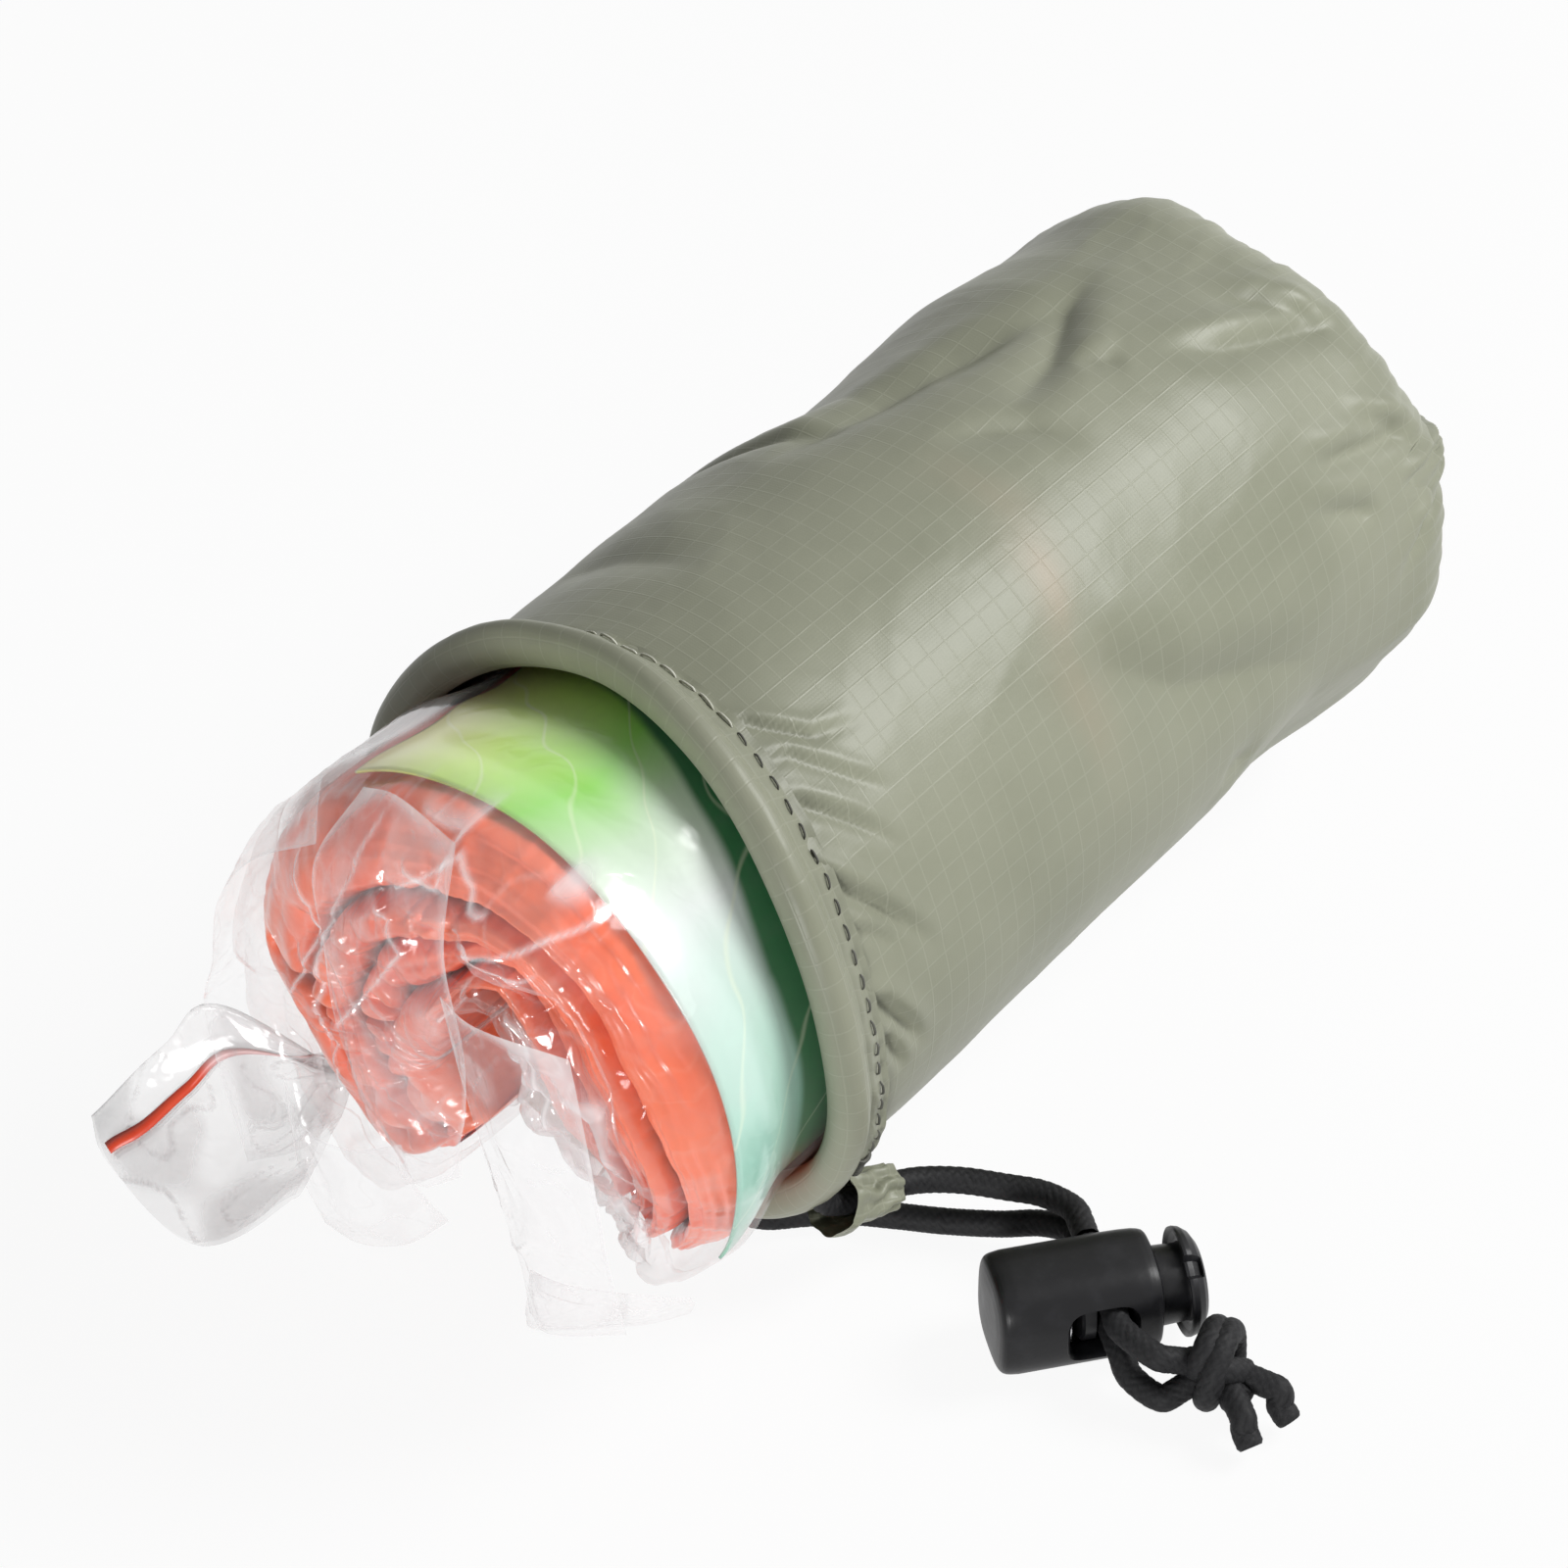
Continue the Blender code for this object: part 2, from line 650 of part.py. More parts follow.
def build_lock():
    place = bpy.data.objects.new("lock_on_cord", None)
    PARTS.objects.link(place)
    place.location = LOCK_END + Vector((0, 0, LOCK_HEIGHT))
    place.rotation_euler = (0, 0, math.radians(LOCK_TURN))
    profile = ((0.0, 0.72), (0.35, 0.86), (1.1, 0.96), (2.4, 1.0), (12.0, 1.0), (17.2, 0.97), (18.5, 0.93))
    rings = []
    for at, size in (*((at * MM, size) for at, size in profile), (BARREL_LENGTH, 0.87)):
        rings.append(squircle(at, size * BARREL_DEPTH / 2, size * BARREL_HEIGHT / 2))
    barrel = add_object("cordlock_barrel", loft("cordlock_barrel", rings), LOCK_PLASTIC)
    bore = cylinder_mesh("lock_bore", BARREL_FLOOR, BARREL_LENGTH + MM, BORE_RADIUS)
    hole = cord_hole_mesh("lock_hole", CORD_HOLE_AT)
    plunger_radius = BORE_RADIUS - PLUNGER_CLEARANCE
    hole_at = CORD_HOLE_AT + PLUNGER_OFFSET
    tip = hole_at - CORD_HOLE_RADIUS - PLUNGER_WEB
    head = BARREL_LENGTH + PLUNGER_TRAVEL + GAP
    steps = (
        (tip, plunger_radius - 0.4 * MM),
        (tip + 0.4 * MM, plunger_radius),
        (head, plunger_radius),
        (head, HEAD_RADIUS - 0.3 * MM),
        (head + 0.3 * MM, HEAD_RADIUS),
        (head + 0.55 * HEAD_THICKNESS, HEAD_RADIUS),
        (head + 0.85 * HEAD_THICKNESS, HEAD_RADIUS - 0.7 * MM),
        (head + HEAD_THICKNESS, HEAD_RADIUS - 2.2 * MM),
    )
    shape = [squircle(x, radius, radius, 2.0) for x, radius in steps]
    plunger = add_object("cordlock_plunger", loft("cordlock_plunger", shape), LOCK_PLASTIC)
    plunger_hole = cord_hole_mesh("plunger_hole", hole_at)
    cutters = [add_cutter(mesh.name, mesh) for mesh in (bore, hole, plunger_hole)]
    boolean(barrel, cutters[0])
    boolean(barrel, cutters[1])
    boolean(plunger, cutters[2])
    spring = build_spring(BARREL_FLOOR + GAP, tip - GAP, plunger_radius - SPRING_WIRE / 2)
    for item in (barrel, plunger, spring, *cutters):
        item.parent = place
    for item in (barrel, plunger):
        shade(item)
    return place


def build_spring(start, end, radius):
    per_curl = 9
    count = SPRING_CURLS * per_curl
    length = end - start - SPRING_WIRE
    route = []
    for k in range(count + 1):
        turn = 2 * math.pi * k / per_curl
        x = start + SPRING_WIRE / 2 + length * k / count
        route.append(Vector((x, radius * math.cos(turn), radius * math.sin(turn))))
    least = min((route[i + per_curl] - route[i]).length for i in range(count - per_curl)) - SPRING_WIRE
    print(f"cordlock_spring: least gap to itself {least / MM:.2f} mm")
    return add_tube("cordlock_spring", route, SPRING_WIRE / 2, SPRING_STEEL, 1)


# Packet: places are given by ring angle and by depth under the packet's outer surface


def packet_radius(x, angle):
    swell = smoothstep((SWELL_FROM - x) / (SWELL_FROM - SWELL_TO))
    turn = (angle + 180) % 360 - 180
    start, end = RECESS_ANGLES
    recess = smoothstep((start - turn) / (start - end)) if turn > -130 else 0.0
    start, end = TAPER_ANGLES
    taper = smoothstep((x - TAPER_FROM) / (PACKET_BACK - TAPER_FROM))
    if turn > -130:
        taper *= smoothstep((turn - start) / (end - start))
    return PACKET_RADIUS + PACKET_SWELL * swell - LEG_RECESS * recess - PACKET_TAPER * taper


def packet_inner(angle):
    """The radius of the packet's inner wall, between the entries of PACKET_INNER."""
    for (a, first), (b, second) in zip(PACKET_INNER, PACKET_INNER[1:]):
        if angle <= b:
            share = (angle - a) / (b - a)
            return PACKET_RADIUS * (first + (second - first) * share)
    return PACKET_RADIUS * PACKET_INNER[-1][1]


def leg_shift(angle, room=0.0):
    """How far a point near the left leg's end is moved along the tangent, short of it by room."""
    start, end = LEG_SHIFT_ANGLES
    return -(LEG_SHIFT - room) * smoothstep((start - angle) / (start - end))


def set_back(angle):
    start, end = FOOT_ANGLES
    return FOOT_SET_BACK * smoothstep((angle - start) / (end - start))


def packet_reach(x, angle, depth):
    """Depths run from the outer wall to the inner one, whatever the wall between them measures."""
    outer = packet_radius(x, angle)
    if depth > CARD_ZONE:
        thick = outer - packet_inner(angle) - CARD_ZONE
        depth = CARD_ZONE + (depth - CARD_ZONE) * thick / (POCKET_DEPTH - CARD_ZONE)
    return outer - depth


def packet_point(x, angle, depth, along=0.0):
    """A point under the packet's surface, moved along the ring's tangent."""
    turn = math.radians(angle)
    reach = packet_reach(x, angle, depth)
    y = AXIS_Y + reach * math.cos(turn) - along * math.sin(turn)
    z = PACKET_AXIS_Z + reach * math.sin(turn) + along * math.cos(turn)
    return Vector((x, y, z))


def packet_angle(step):
    return LEFT_LEG_END + (RIGHT_LEG_END - LEFT_LEG_END) * step / PACKET_STEPS


def length_stations(front, back):
    third = (SWELL_TO - SWELL_FROM) / 3
    tapered = [x for x in ((TAPER_FROM + PACKET_BACK) / 2, TAPER_FROM) if x < back - MM]
    return [back, *tapered, SWELL_FROM, SWELL_FROM + third, SWELL_TO - third, SWELL_TO, front]


def pocket_section(inset, front):
    """The clear bag's section along X: a long loop with a rounded front."""
    outer, inner = 4.5 * MM, 3.0 * MM
    points = [(x, inset) for x in length_stations(front + outer, PACKET_BACK - inset)]
    for turn in (45, 90):
        c, s = math.cos(math.radians(turn)), math.sin(math.radians(turn))
        points.append((front + outer - (outer - inset) * s, outer - (outer - inset) * c))
    deep = POCKET_DEPTH
    for turn in (90, 45):
        c, s = math.cos(math.radians(turn)), math.sin(math.radians(turn))
        points.append((front + inner - (inner - inset) * s, deep - inner + (inner - inset) * c))
    back = length_stations(front + inner, PACKET_BACK - inset)
    points += [(x, deep - inset) for x in reversed(back)]
    return points


def pocket_mesh(name, inset):
    rings = []
    for step in range(PACKET_STEPS + 1):
        angle = packet_angle(step)
        along = leg_shift(angle, inset)
        if step == PACKET_STEPS:
            along = -inset
        section = pocket_section(inset, PACKET_FRONT + set_back(angle))
        rings.append([packet_point(x, angle, depth, along) for x, depth in section])
    return loft(name, rings)


def strip_middle(distance, x):
    """The zip strip's middle line: round the packet in the sack, spread on the floor in front."""
    reach = PACKET_RADIUS - STRIP_SUNK - STRIP_THICKNESS / 2
    turn = math.radians(STRIP_START) - distance / reach
    wrapped = Vector((AXIS_Y + reach * math.cos(turn), PACKET_AXIS_Z + reach * math.sin(turn)))
    first, last = (math.radians(slope) for slope in STRIP_SPREAD)
    bend = STRIP_WIDTH / (last - first)
    slope = first + distance / bend
    arc = Vector((math.sin(slope) - math.sin(first), math.cos(first) - math.cos(slope)))
    blend = smoothstep((STRIP_OPEN_FROM - x) / (STRIP_OPEN_FROM - STRIP_OPEN_TO))
    turn = math.radians(STRIP_ROOT_ANGLE)
    reach = packet_radius(STRIP_FRONT, STRIP_ROOT_ANGLE) - STRIP_ROOT_DEPTH
    root = Vector((AXIS_Y + reach * math.cos(turn), PACKET_AXIS_Z + reach * math.sin(turn)))
    return wrapped.lerp(root + bend * arc, blend)


def strip_point(distance, x, out, across=0.0):
    """A point across the strip and out from its middle, square to it at this distance."""
    way = strip_middle(distance + MM, x) - strip_middle(distance - MM, x)
    way.normalize()
    place = strip_middle(distance, x) + way * across + Vector((-way.y, way.x)) * out
    return Vector((x, place.x, place.y))


def strip_stations(front, back):
    spread = (STRIP_OPEN_TO - STRIP_OPEN_FROM) / STRIP_STATIONS
    middle = [STRIP_OPEN_FROM + spread * k for k in range(STRIP_STATIONS + 1)]
    return [back, *middle, front]


def strip_mesh(name, inset, start, end):
    """The zip strip, or its hollow, between two distances from its start."""
    half = STRIP_THICKNESS / 2 - inset
    stations = strip_stations(STRIP_FRONT + inset, STRIP_BACK - inset)
    zip_at = STRIP_WIDTH - ZIP_FROM_EDGE
    inner = [(zip_at * k / 5, 0) for k in range(1, 5)]
    flat = [(zip_at, -ZIP_FLAT / 2), (zip_at, ZIP_FLAT / 2)]
    places = [(start, 0), *inner, *flat, (end, 0)]
    rings = []
    for x in stations:
        ring = [strip_point(distance, x, half, across) for distance, across in places]
        ring += [strip_point(distance, x, -half, across) for distance, across in reversed(places)]
        rings.append(ring)
    return loft(name, rings)


def build_clear_bag():
    bag = add_object("clear_zip_bag", pocket_mesh("clear_zip_bag", 0.0), CLEAR)
    strip = add_cutter("strip_outside", strip_mesh("strip_outside", 0.0, 0.0, STRIP_WIDTH))
    hollow = add_cutter("pocket_hollow", pocket_mesh("pocket_hollow", CLEAR_FILM))
    mouth = strip_mesh("strip_hollow", CLEAR_FILM, -1.5 * MM, STRIP_WIDTH + MM)
    boolean(bag, strip, "UNION")
    boolean(bag, hollow)
    boolean(bag, add_cutter("strip_hollow", mouth))
    shade(bag)


def build_card():
    depth = CLEAR_FILM + GAP + CARD / 2
    back = CARD_FRONT + CARD_LENGTH
    rows = []
    for step in range(CARD_STEPS[0], CARD_STEPS[1] + 1):
        angle = packet_angle(step)
        rows.append([packet_point(x, angle, depth) for x in length_stations(CARD_FRONT, back)])
    add_sheet("printed_card", rows, CARD, CARD_PRINT)


def leg_start(depth, room):
    """The ring angle at which the film at this depth stands off the left leg's end by room."""
    reach = packet_reach(0.0, LEFT_LEG_END, depth)
    near, far = LEFT_LEG_END, LEG_SHIFT_ANGLES[0]
    for _ in range(20):
        middle = (near + far) / 2
        turn = math.radians(middle - LEFT_LEG_END)
        shifted = leg_shift(middle, CLEAR_FILM) * math.cos(turn) - leg_shift(LEFT_LEG_END)
        if reach * math.sin(turn) + shifted < room:
            near = middle
        else:
            far = middle
    return far


def film_path():
    """Points of the folded film: angle, along the tangent, depth, and the way the fold runs."""
    first = CLEAR_FILM + 2 * GAP + CARD + LAYER / 2
    pitch = LAYER + LAYER_GAP
    path = []
    for layer in range(LAYERS):
        depth = first + pitch * layer
        turn_room = pitch / 2 + LAYER / 2 + CLEAR_FILM + GAP
        reach = packet_reach(PACKET_BACK, RIGHT_LEG_END, depth + pitch / 2)
        right_room = math.degrees(turn_room / reach)
        start = leg_start(depth, turn_room + 5 * GAP)
        end = RIGHT_LEG_END - right_room
        forward = layer % 2 == 0
        inner = [packet_angle(step) for step in range(PACKET_STEPS + 1)]
        angles = [start, *(angle for angle in inner if start + 2 < angle < end - 2), end]
        for angle in angles if forward else reversed(angles):
            along = leg_shift(angle, CLEAR_FILM)
            path.append((angle, along, depth, (1 if forward else -1, 0)))
        if layer < LAYERS - 1:
            angle, way = (end, 1) if forward else (start, -1)
            for turn in (45, 90, 135):
                c, s = math.cos(math.radians(turn)), math.sin(math.radians(turn))
                along = leg_shift(angle, CLEAR_FILM) + way * pitch / 2 * s
                path.append((angle, along, depth + pitch / 2 * (1 - c), (way * c, s)))
    return path


def film_front(depth):
    """The outer layers stand back from the front more than the inner ones."""
    first = CLEAR_FILM + 2 * GAP + CARD
    share = 1 - min(1.0, (depth - first) / (7 * MM))
    return PACKET_FRONT + CLEAR_FILM + 4 * GAP + NOSE * share**2


def build_film():
    half = LAYER / 2
    rings = []
    for angle, along, depth, way in film_path():
        across = (-way[1], way[0])
        front = film_front(depth) + set_back(angle)
        back = PACKET_BACK - 2 * CLEAR_FILM - 2 * GAP
        cells = [(x, half) for x in length_stations(front + half, back)]
        cells.append((front, half * 0.3))
        cells += [(x, -out) for x, out in reversed(cells)]
        ring = []
        for x, out in cells:
            ring.append(packet_point(x, angle, depth + across[1] * out, along + across[0] * out))
        rings.append(ring)
    add_object("folded_film_bag", loft("folded_film_bag", rings), ORANGE_FILM)
    shade(bpy.data.objects["folded_film_bag"])


def build_zip():
    """Two tracks that face each other inside the strip, and the red line on its outer face."""
    at = STRIP_WIDTH - ZIP_FROM_EDGE
    face = STRIP_THICKNESS / 2 - CLEAR_FILM - 1.5 * GAP
    rib, wall, room = ZIP_RIB / 2, ZIP_WALL, GAP
    floor = -face + wall
    rib_section = [(-rib, face), (rib, face), (rib, floor + room), (-rib, floor + room)]
    outer = rib + room + wall
    inner = rib + room
    lip = face - room
    groove_section = [(-outer, -face), (outer, -face), (outer, lip), (inner, lip), (inner, floor)]
    groove_section += [(-across, out) for across, out in reversed(groove_section[2:])]
    line = ZIP_LINE_WIDTH / 2
    top = STRIP_THICKNESS / 2 + GAP
    line_section = [(-line, top), (line, top), (line, top + GAP), (-line, top + GAP)]
    for name, section, material in (
        ("zip_groove_track", groove_section, CLEAR),
        ("zip_rib_track", rib_section, CLEAR),
        ("zip_red_line", line_section, RED_LINE),
    ):
        short = RIB_SHORT if name == "zip_rib_track" else TRACK_SHORT
        stations = strip_stations(STRIP_FRONT + short, STRIP_BACK - short)
        rings = [[strip_point(at, x, out, across) for across, out in section] for x in stations]
        add_object(name, loft(name, rings), material)


# Putting it together


def gather(names, place_name, origin):
    """Hangs moving pieces on an empty at their joint."""
    place = bpy.data.objects.new(place_name, None)
    PARTS.objects.link(place)
    place.location = origin
    for name in names:
        item = bpy.data.objects[name]
        item.data.transform(Matrix.Translation(-origin))
        item.parent = place
    return place


def centre_on_base():
    """Moves everything so that the fixed pieces and the packet stand over the origin."""
    bpy.context.view_layer.update()
    graph = bpy.context.evaluated_depsgraph_get()
    low, high = [math.inf, math.inf], [-math.inf, -math.inf]
    for item in PARTS.objects:
        on_cord = item.name.startswith("drawcord_") and item.name != "drawcord_in_hem"
        if item.type == "EMPTY" or on_cord or item.name.startswith("cordlock_"):
            continue
        shape = item.evaluated_get(graph)
        mesh = shape.to_mesh()
        for vertex in mesh.vertices:
            place = shape.matrix_world @ vertex.co
            for k in range(2):
                low[k] = min(low[k], place[k])
                high[k] = max(high[k], place[k])
        shape.to_mesh_clear()
    base = bpy.data.objects.new("base_centre", None)
    PARTS.objects.link(base)
    for item in list(PARTS.objects) + list(CUTTERS.objects):
        if item != base and item.parent is None:
            item.parent = base
    base.location = (-(low[0] + high[0]) / 2, -(low[1] + high[1]) / 2, 0)
    bpy.context.view_layer.update()
    print("centred by", [round(value / MM, 3) for value in base.location], "mm")


POCKET_DEPTH = 2 * CLEAR_FILM + 3 * GAP + CARD + LAYERS * LAYER + (LAYERS - 1) * LAYER_GAP
clear_scene()
PARTS = add_collection("Emergency_sleeping_bag")
CUTTERS = add_collection("Cutters", hidden=True)
RIPSTOP = make_material("Ripstop", (0.22, 0.225, 0.18), 0.55)
THREAD_LIGHT = make_material("Thread_light", (0.45, 0.45, 0.4), 0.6)
THREAD_DARK = make_material("Thread_dark", (0.08, 0.085, 0.07), 0.7)
BRAID = make_material("Braid", (0.012, 0.012, 0.013), 0.75)
LOCK_PLASTIC = make_material("Lock_plastic", (0.015, 0.015, 0.017), 0.4)
SPRING_STEEL = make_material("Spring_steel", (0.6, 0.6, 0.6), 0.25, 1.0)
ORANGE_FILM = make_material("Orange_film", (0.9, 0.14, 0.04), 0.3)
CARD_PRINT = make_material("Card_print", (0.45, 0.8, 0.55), 0.35)
CLEAR = make_material("Clear_film", (0.95, 0.93, 0.94), 0.1)
RED_LINE = make_material("Red_line", (0.8, 0.04, 0.03), 0.35)

build_sack_body()
routes = build_cords()
upper_exit = exit_route(routes["drawcord_leg_upper"], UPPER_EXIT_LENGTH)
lower_exit = exit_route(routes["drawcord_leg_lower"], LOWER_EXIT_LENGTH)
build_hem((("upper_exit", upper_exit), ("lower_exit", lower_exit)))
build_stitching()
build_bartack()
build_seams()
build_tuck("corner_tuck_right", SEAM_ANGLE - 180)
build_tuck("corner_tuck_left", SEAM_ANGLE)
build_outlet(routes["drawcord_leg_upper"])
build_knot()
build_lock()
build_film()
build_card()
build_clear_bag()
build_zip()
packet = ("folded_film_bag", "printed_card", "zip_rib_track", "zip_groove_track", "zip_red_line")
gather(packet, "packet_slide", Vector((PACKET_FRONT, AXIS_Y, PACKET_AXIS_Z)))
centre_on_base()
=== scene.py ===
# Emergency sleeping bag: the looks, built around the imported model.
# Routes and profiles are in the part's building frame, in millimetres: +X from the sack's mouth
# to its closed end, +Z up, floor at 0. Ring angles are in degrees: 0 is +Y, 90 the top, 180 is -Y.
import math

import bmesh
import bpy
import numpy as np
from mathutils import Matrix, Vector


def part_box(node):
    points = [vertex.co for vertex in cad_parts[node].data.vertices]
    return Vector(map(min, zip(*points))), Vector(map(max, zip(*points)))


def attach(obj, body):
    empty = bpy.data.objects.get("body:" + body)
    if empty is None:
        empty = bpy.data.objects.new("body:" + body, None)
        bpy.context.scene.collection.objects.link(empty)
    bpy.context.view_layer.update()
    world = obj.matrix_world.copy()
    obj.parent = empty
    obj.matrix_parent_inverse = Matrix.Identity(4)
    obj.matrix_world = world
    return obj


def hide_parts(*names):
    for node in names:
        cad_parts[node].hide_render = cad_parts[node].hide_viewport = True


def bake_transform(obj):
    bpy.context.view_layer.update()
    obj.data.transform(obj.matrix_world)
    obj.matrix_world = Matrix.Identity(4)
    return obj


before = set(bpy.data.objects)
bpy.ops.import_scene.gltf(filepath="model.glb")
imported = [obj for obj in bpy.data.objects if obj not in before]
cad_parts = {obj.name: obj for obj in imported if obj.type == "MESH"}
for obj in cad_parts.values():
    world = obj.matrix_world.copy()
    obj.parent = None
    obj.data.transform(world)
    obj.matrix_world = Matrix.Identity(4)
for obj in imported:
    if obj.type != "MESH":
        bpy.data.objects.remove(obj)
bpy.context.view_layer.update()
scene = bpy.context.scene
scene.view_settings.view_transform = "Standard"
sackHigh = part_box("sack_body")[1]
hemLow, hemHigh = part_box("hem_casing")
sackEnd, hemMiddle = 0.08897, 0.0005  # the sack's far end in X and the hem's middle in Y as built, in metres
shift = np.array([sackHigh.x - sackEnd, (hemLow.y + hemHigh.y) / 2 - hemMiddle, 0.0])
pieceGap = 0.3  # between pieces that touch
meanRadius = 37.0  # of the sack's section
seamRight, seamLeft = 160.0, 340.0  # ring angles where the end seam meets the sack's side


def toWorld(points):
    return np.asarray(points, float) * 0.001 + shift


def smooth(value):
    value = np.clip(value, 0.0, 1.0)
    return value * value * (3 - 2 * value)


def bell(value, spread):
    # 1 at 0, falling off evenly to both sides
    return np.exp(-((value / spread) ** 2))


def turned(angle, centre):
    # signed distance in degrees from centre, the short way round
    return (angle - centre + 180.0) % 360.0 - 180.0


def noise(u, v, seed, wrap=256):
    # gradient noise: each lattice corner holds a slope, blended with a quintic curve;
    # v repeats every wrap cells
    slope = np.random.default_rng(seed).uniform(0, 2 * np.pi, (256, 256))
    u, v = np.broadcast_arrays(np.asarray(u, float), np.asarray(v, float))
    iu, iv = np.floor(u).astype(int), np.floor(v).astype(int)
    fu, fv = u - iu, v - iv
    su, sv = fu**3 * (fu * (6 * fu - 15) + 10), fv**3 * (fv * (6 * fv - 15) + 10)

    def corner(du, dv):
        way = slope[(iu + du) % 256, (iv + dv) % wrap]
        return np.cos(way) * (fu - du) + np.sin(way) * (fv - dv)

    low = corner(0, 0) * (1 - su) + corner(1, 0) * su
    high = corner(0, 1) * (1 - su) + corner(1, 1) * su
    return 1.5 * (low * (1 - sv) + high * sv)


def ridges(u, v, seed, wrap=256):
    # sharp crests where the noise crosses zero, 0 to 1
    return 1 - np.minimum(1.0, 2.6 * np.abs(noise(u, v, seed, wrap)))


def creased(u, v, seed, wrap=256):
    # crumpled sheet: the noise is bent by itself, then folded at its crests
    bend = 0.35 * noise(u * 0.7 + 9.1, v, seed + 1, wrap)
    return ridges(u + bend, v + bend, seed, wrap) - 0.45


def together(*values):
    return np.broadcast_arrays(*(np.asarray(value, float) for value in values))


def pointsOf(x, y, z):
    return np.stack(np.broadcast_arrays(x, y, z), -1)


def gridNormals(points):
    along = np.gradient(points, axis=0)
    across = np.gradient(points, axis=1)
    normal = np.cross(along, across)
    return normal / np.maximum(np.linalg.norm(normal, axis=-1, keepdims=True), 1e-9)


def rework(mesh, change):
    work = bmesh.new()
    work.from_mesh(mesh)
    change(work)
    work.to_mesh(mesh)
    work.free()


def gridMesh(
    name, points, uv=None, closedRows=False, closedColumns=False, flip=False, merge=False, attributes=None
):
    # a net of four-sided faces through rows and columns of points
    rows, columns = points.shape[:2]
    i = np.arange(rows if closedRows else rows - 1)[:, None]
    j = np.arange(columns if closedColumns else columns - 1)[None, :]
    i, j = [part.ravel() for part in np.broadcast_arrays(i, j)]
    corners = np.stack([i, j, i + 1, j, i + 1, j + 1, i, j + 1], -1).reshape(-1, 4, 2)
    if flip:
        corners = corners[:, ::-1]
    index = (corners[..., 0] % rows) * columns + corners[..., 1] % columns
    mesh = bpy.data.meshes.new(name)
    mesh.vertices.add(rows * columns)
    mesh.vertices.foreach_set("co", toWorld(points).reshape(-1).astype(np.float32))
    mesh.loops.add(index.size)
    mesh.loops.foreach_set("vertex_index", index.reshape(-1).astype(np.int32))
    mesh.polygons.add(len(index))
    mesh.polygons.foreach_set("loop_start", np.arange(0, index.size, 4, dtype=np.int32))
    if uv is None:
        uv = np.stack(np.meshgrid(np.arange(rows + 1.0), np.arange(columns + 1.0), indexing="ij"), -1)
    layer = mesh.uv_layers.new(name="cloth")
    layer.data.foreach_set("uv", uv[corners[..., 0], corners[..., 1]].reshape(-1).astype(np.float32))
    for label, values in (attributes or {}).items():
        mask = mesh.attributes.new(label, "FLOAT", "POINT")
        mask.data.foreach_set("value", values.reshape(-1).astype(np.float32))
    mesh.update(calc_edges=True)
    if merge:
        rework(mesh, lambda work: bmesh.ops.remove_doubles(work, verts=work.verts, dist=1e-7))
    mesh.shade_smooth()
    return mesh


def addPiece(name, mesh, body, material, replaces=()):
    piece = bpy.data.objects.new(name, mesh)
    scene.collection.objects.link(piece)
    mesh.materials.append(material)
    if body:
        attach(piece, body)
    if replaces:
        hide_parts(*replaces)
    return piece


def gridPiece(name, body, material, node, slot, points, uv=None, **form):
    return addPiece(name, gridMesh(name, points, uv, **form), body, material, (node,) if node else ())


def uvGrid(rowValues, columnValues):
    return np.stack(np.meshgrid(rowValues, columnValues, indexing="ij"), -1)


def evenUv(points, down, over):
    rows, columns = points.shape[:2]
    return uvGrid(np.arange(rows + 1) * down, np.arange(columns + 1) * over)


def thicken(piece, thickness, offset=0.0):
    wall = piece.modifiers.new("thickness", "SOLIDIFY")
    wall.thickness = thickness * 0.001
    wall.offset = offset


def join(name, meshes):
    # several meshes as one, each keeping its own corners
    work = bmesh.new()
    for mesh in meshes:
        work.from_mesh(mesh)
    whole = bpy.data.meshes.new(name)
    work.to_mesh(whole)
    work.free()
    whole.shade_smooth()
    return whole


# Camera

cameraSetup = {
    "azimuth": -51.5,
    "elevation": 42.5,
    "distance": 700.0,
    "target": (1.0, 7.6, 30.0),
    "lens": 135.0,
}


def viewWay(azimuth, elevation):
    az, el = math.radians(azimuth), math.radians(elevation)
    return Vector((math.sin(az) * math.cos(el), -math.cos(az) * math.cos(el), math.sin(el)))


cameraData = bpy.data.cameras.new("camera")
cameraData.lens = cameraSetup["lens"]
cameraData.sensor_width = 36.0
cameraData.clip_start = 0.01
camera = bpy.data.objects.new("camera", cameraData)
scene.collection.objects.link(camera)
cameraWay = viewWay(cameraSetup["azimuth"], cameraSetup["elevation"])
target = Vector(toWorld(cameraSetup["target"]))
camera.location = target + cameraWay * cameraSetup["distance"] * 0.001
camera.rotation_euler = cameraWay.to_track_quat("Z", "Y").to_euler()
scene.camera = camera
print("camera in place")


# Shader helpers: a new node goes into the tree that its sockets belong to


def fill(node, values):
    # each input takes a link, a number or a colour
    for label, value in values.items():
        if isinstance(value, bpy.types.NodeSocket):
            node.id_data.links.new(value, node.inputs[label])
        else:
            node.inputs[label].default_value = value
    return node


def newNode(kind, *values):
    tree = next(value.id_data for value in values if isinstance(value, bpy.types.NodeSocket))
    return tree.nodes.new("ShaderNode" + kind)


def newMaterial(name):
    material = bpy.data.materials.new(name)
    material.use_nodes = True
    nodes = material.node_tree.nodes
    return material, nodes, nodes["Principled BSDF"], nodes.new("ShaderNodeTexCoord").outputs["Object"]


def attributeNode(nodes, name):
    node = nodes.new("ShaderNodeAttribute")
    node.attribute_name = name
    return node.outputs["Fac"]


def uvNode(nodes):
    node = nodes.new("ShaderNodeUVMap")
    node.uv_map = "cloth"
    return node.outputs["UV"]


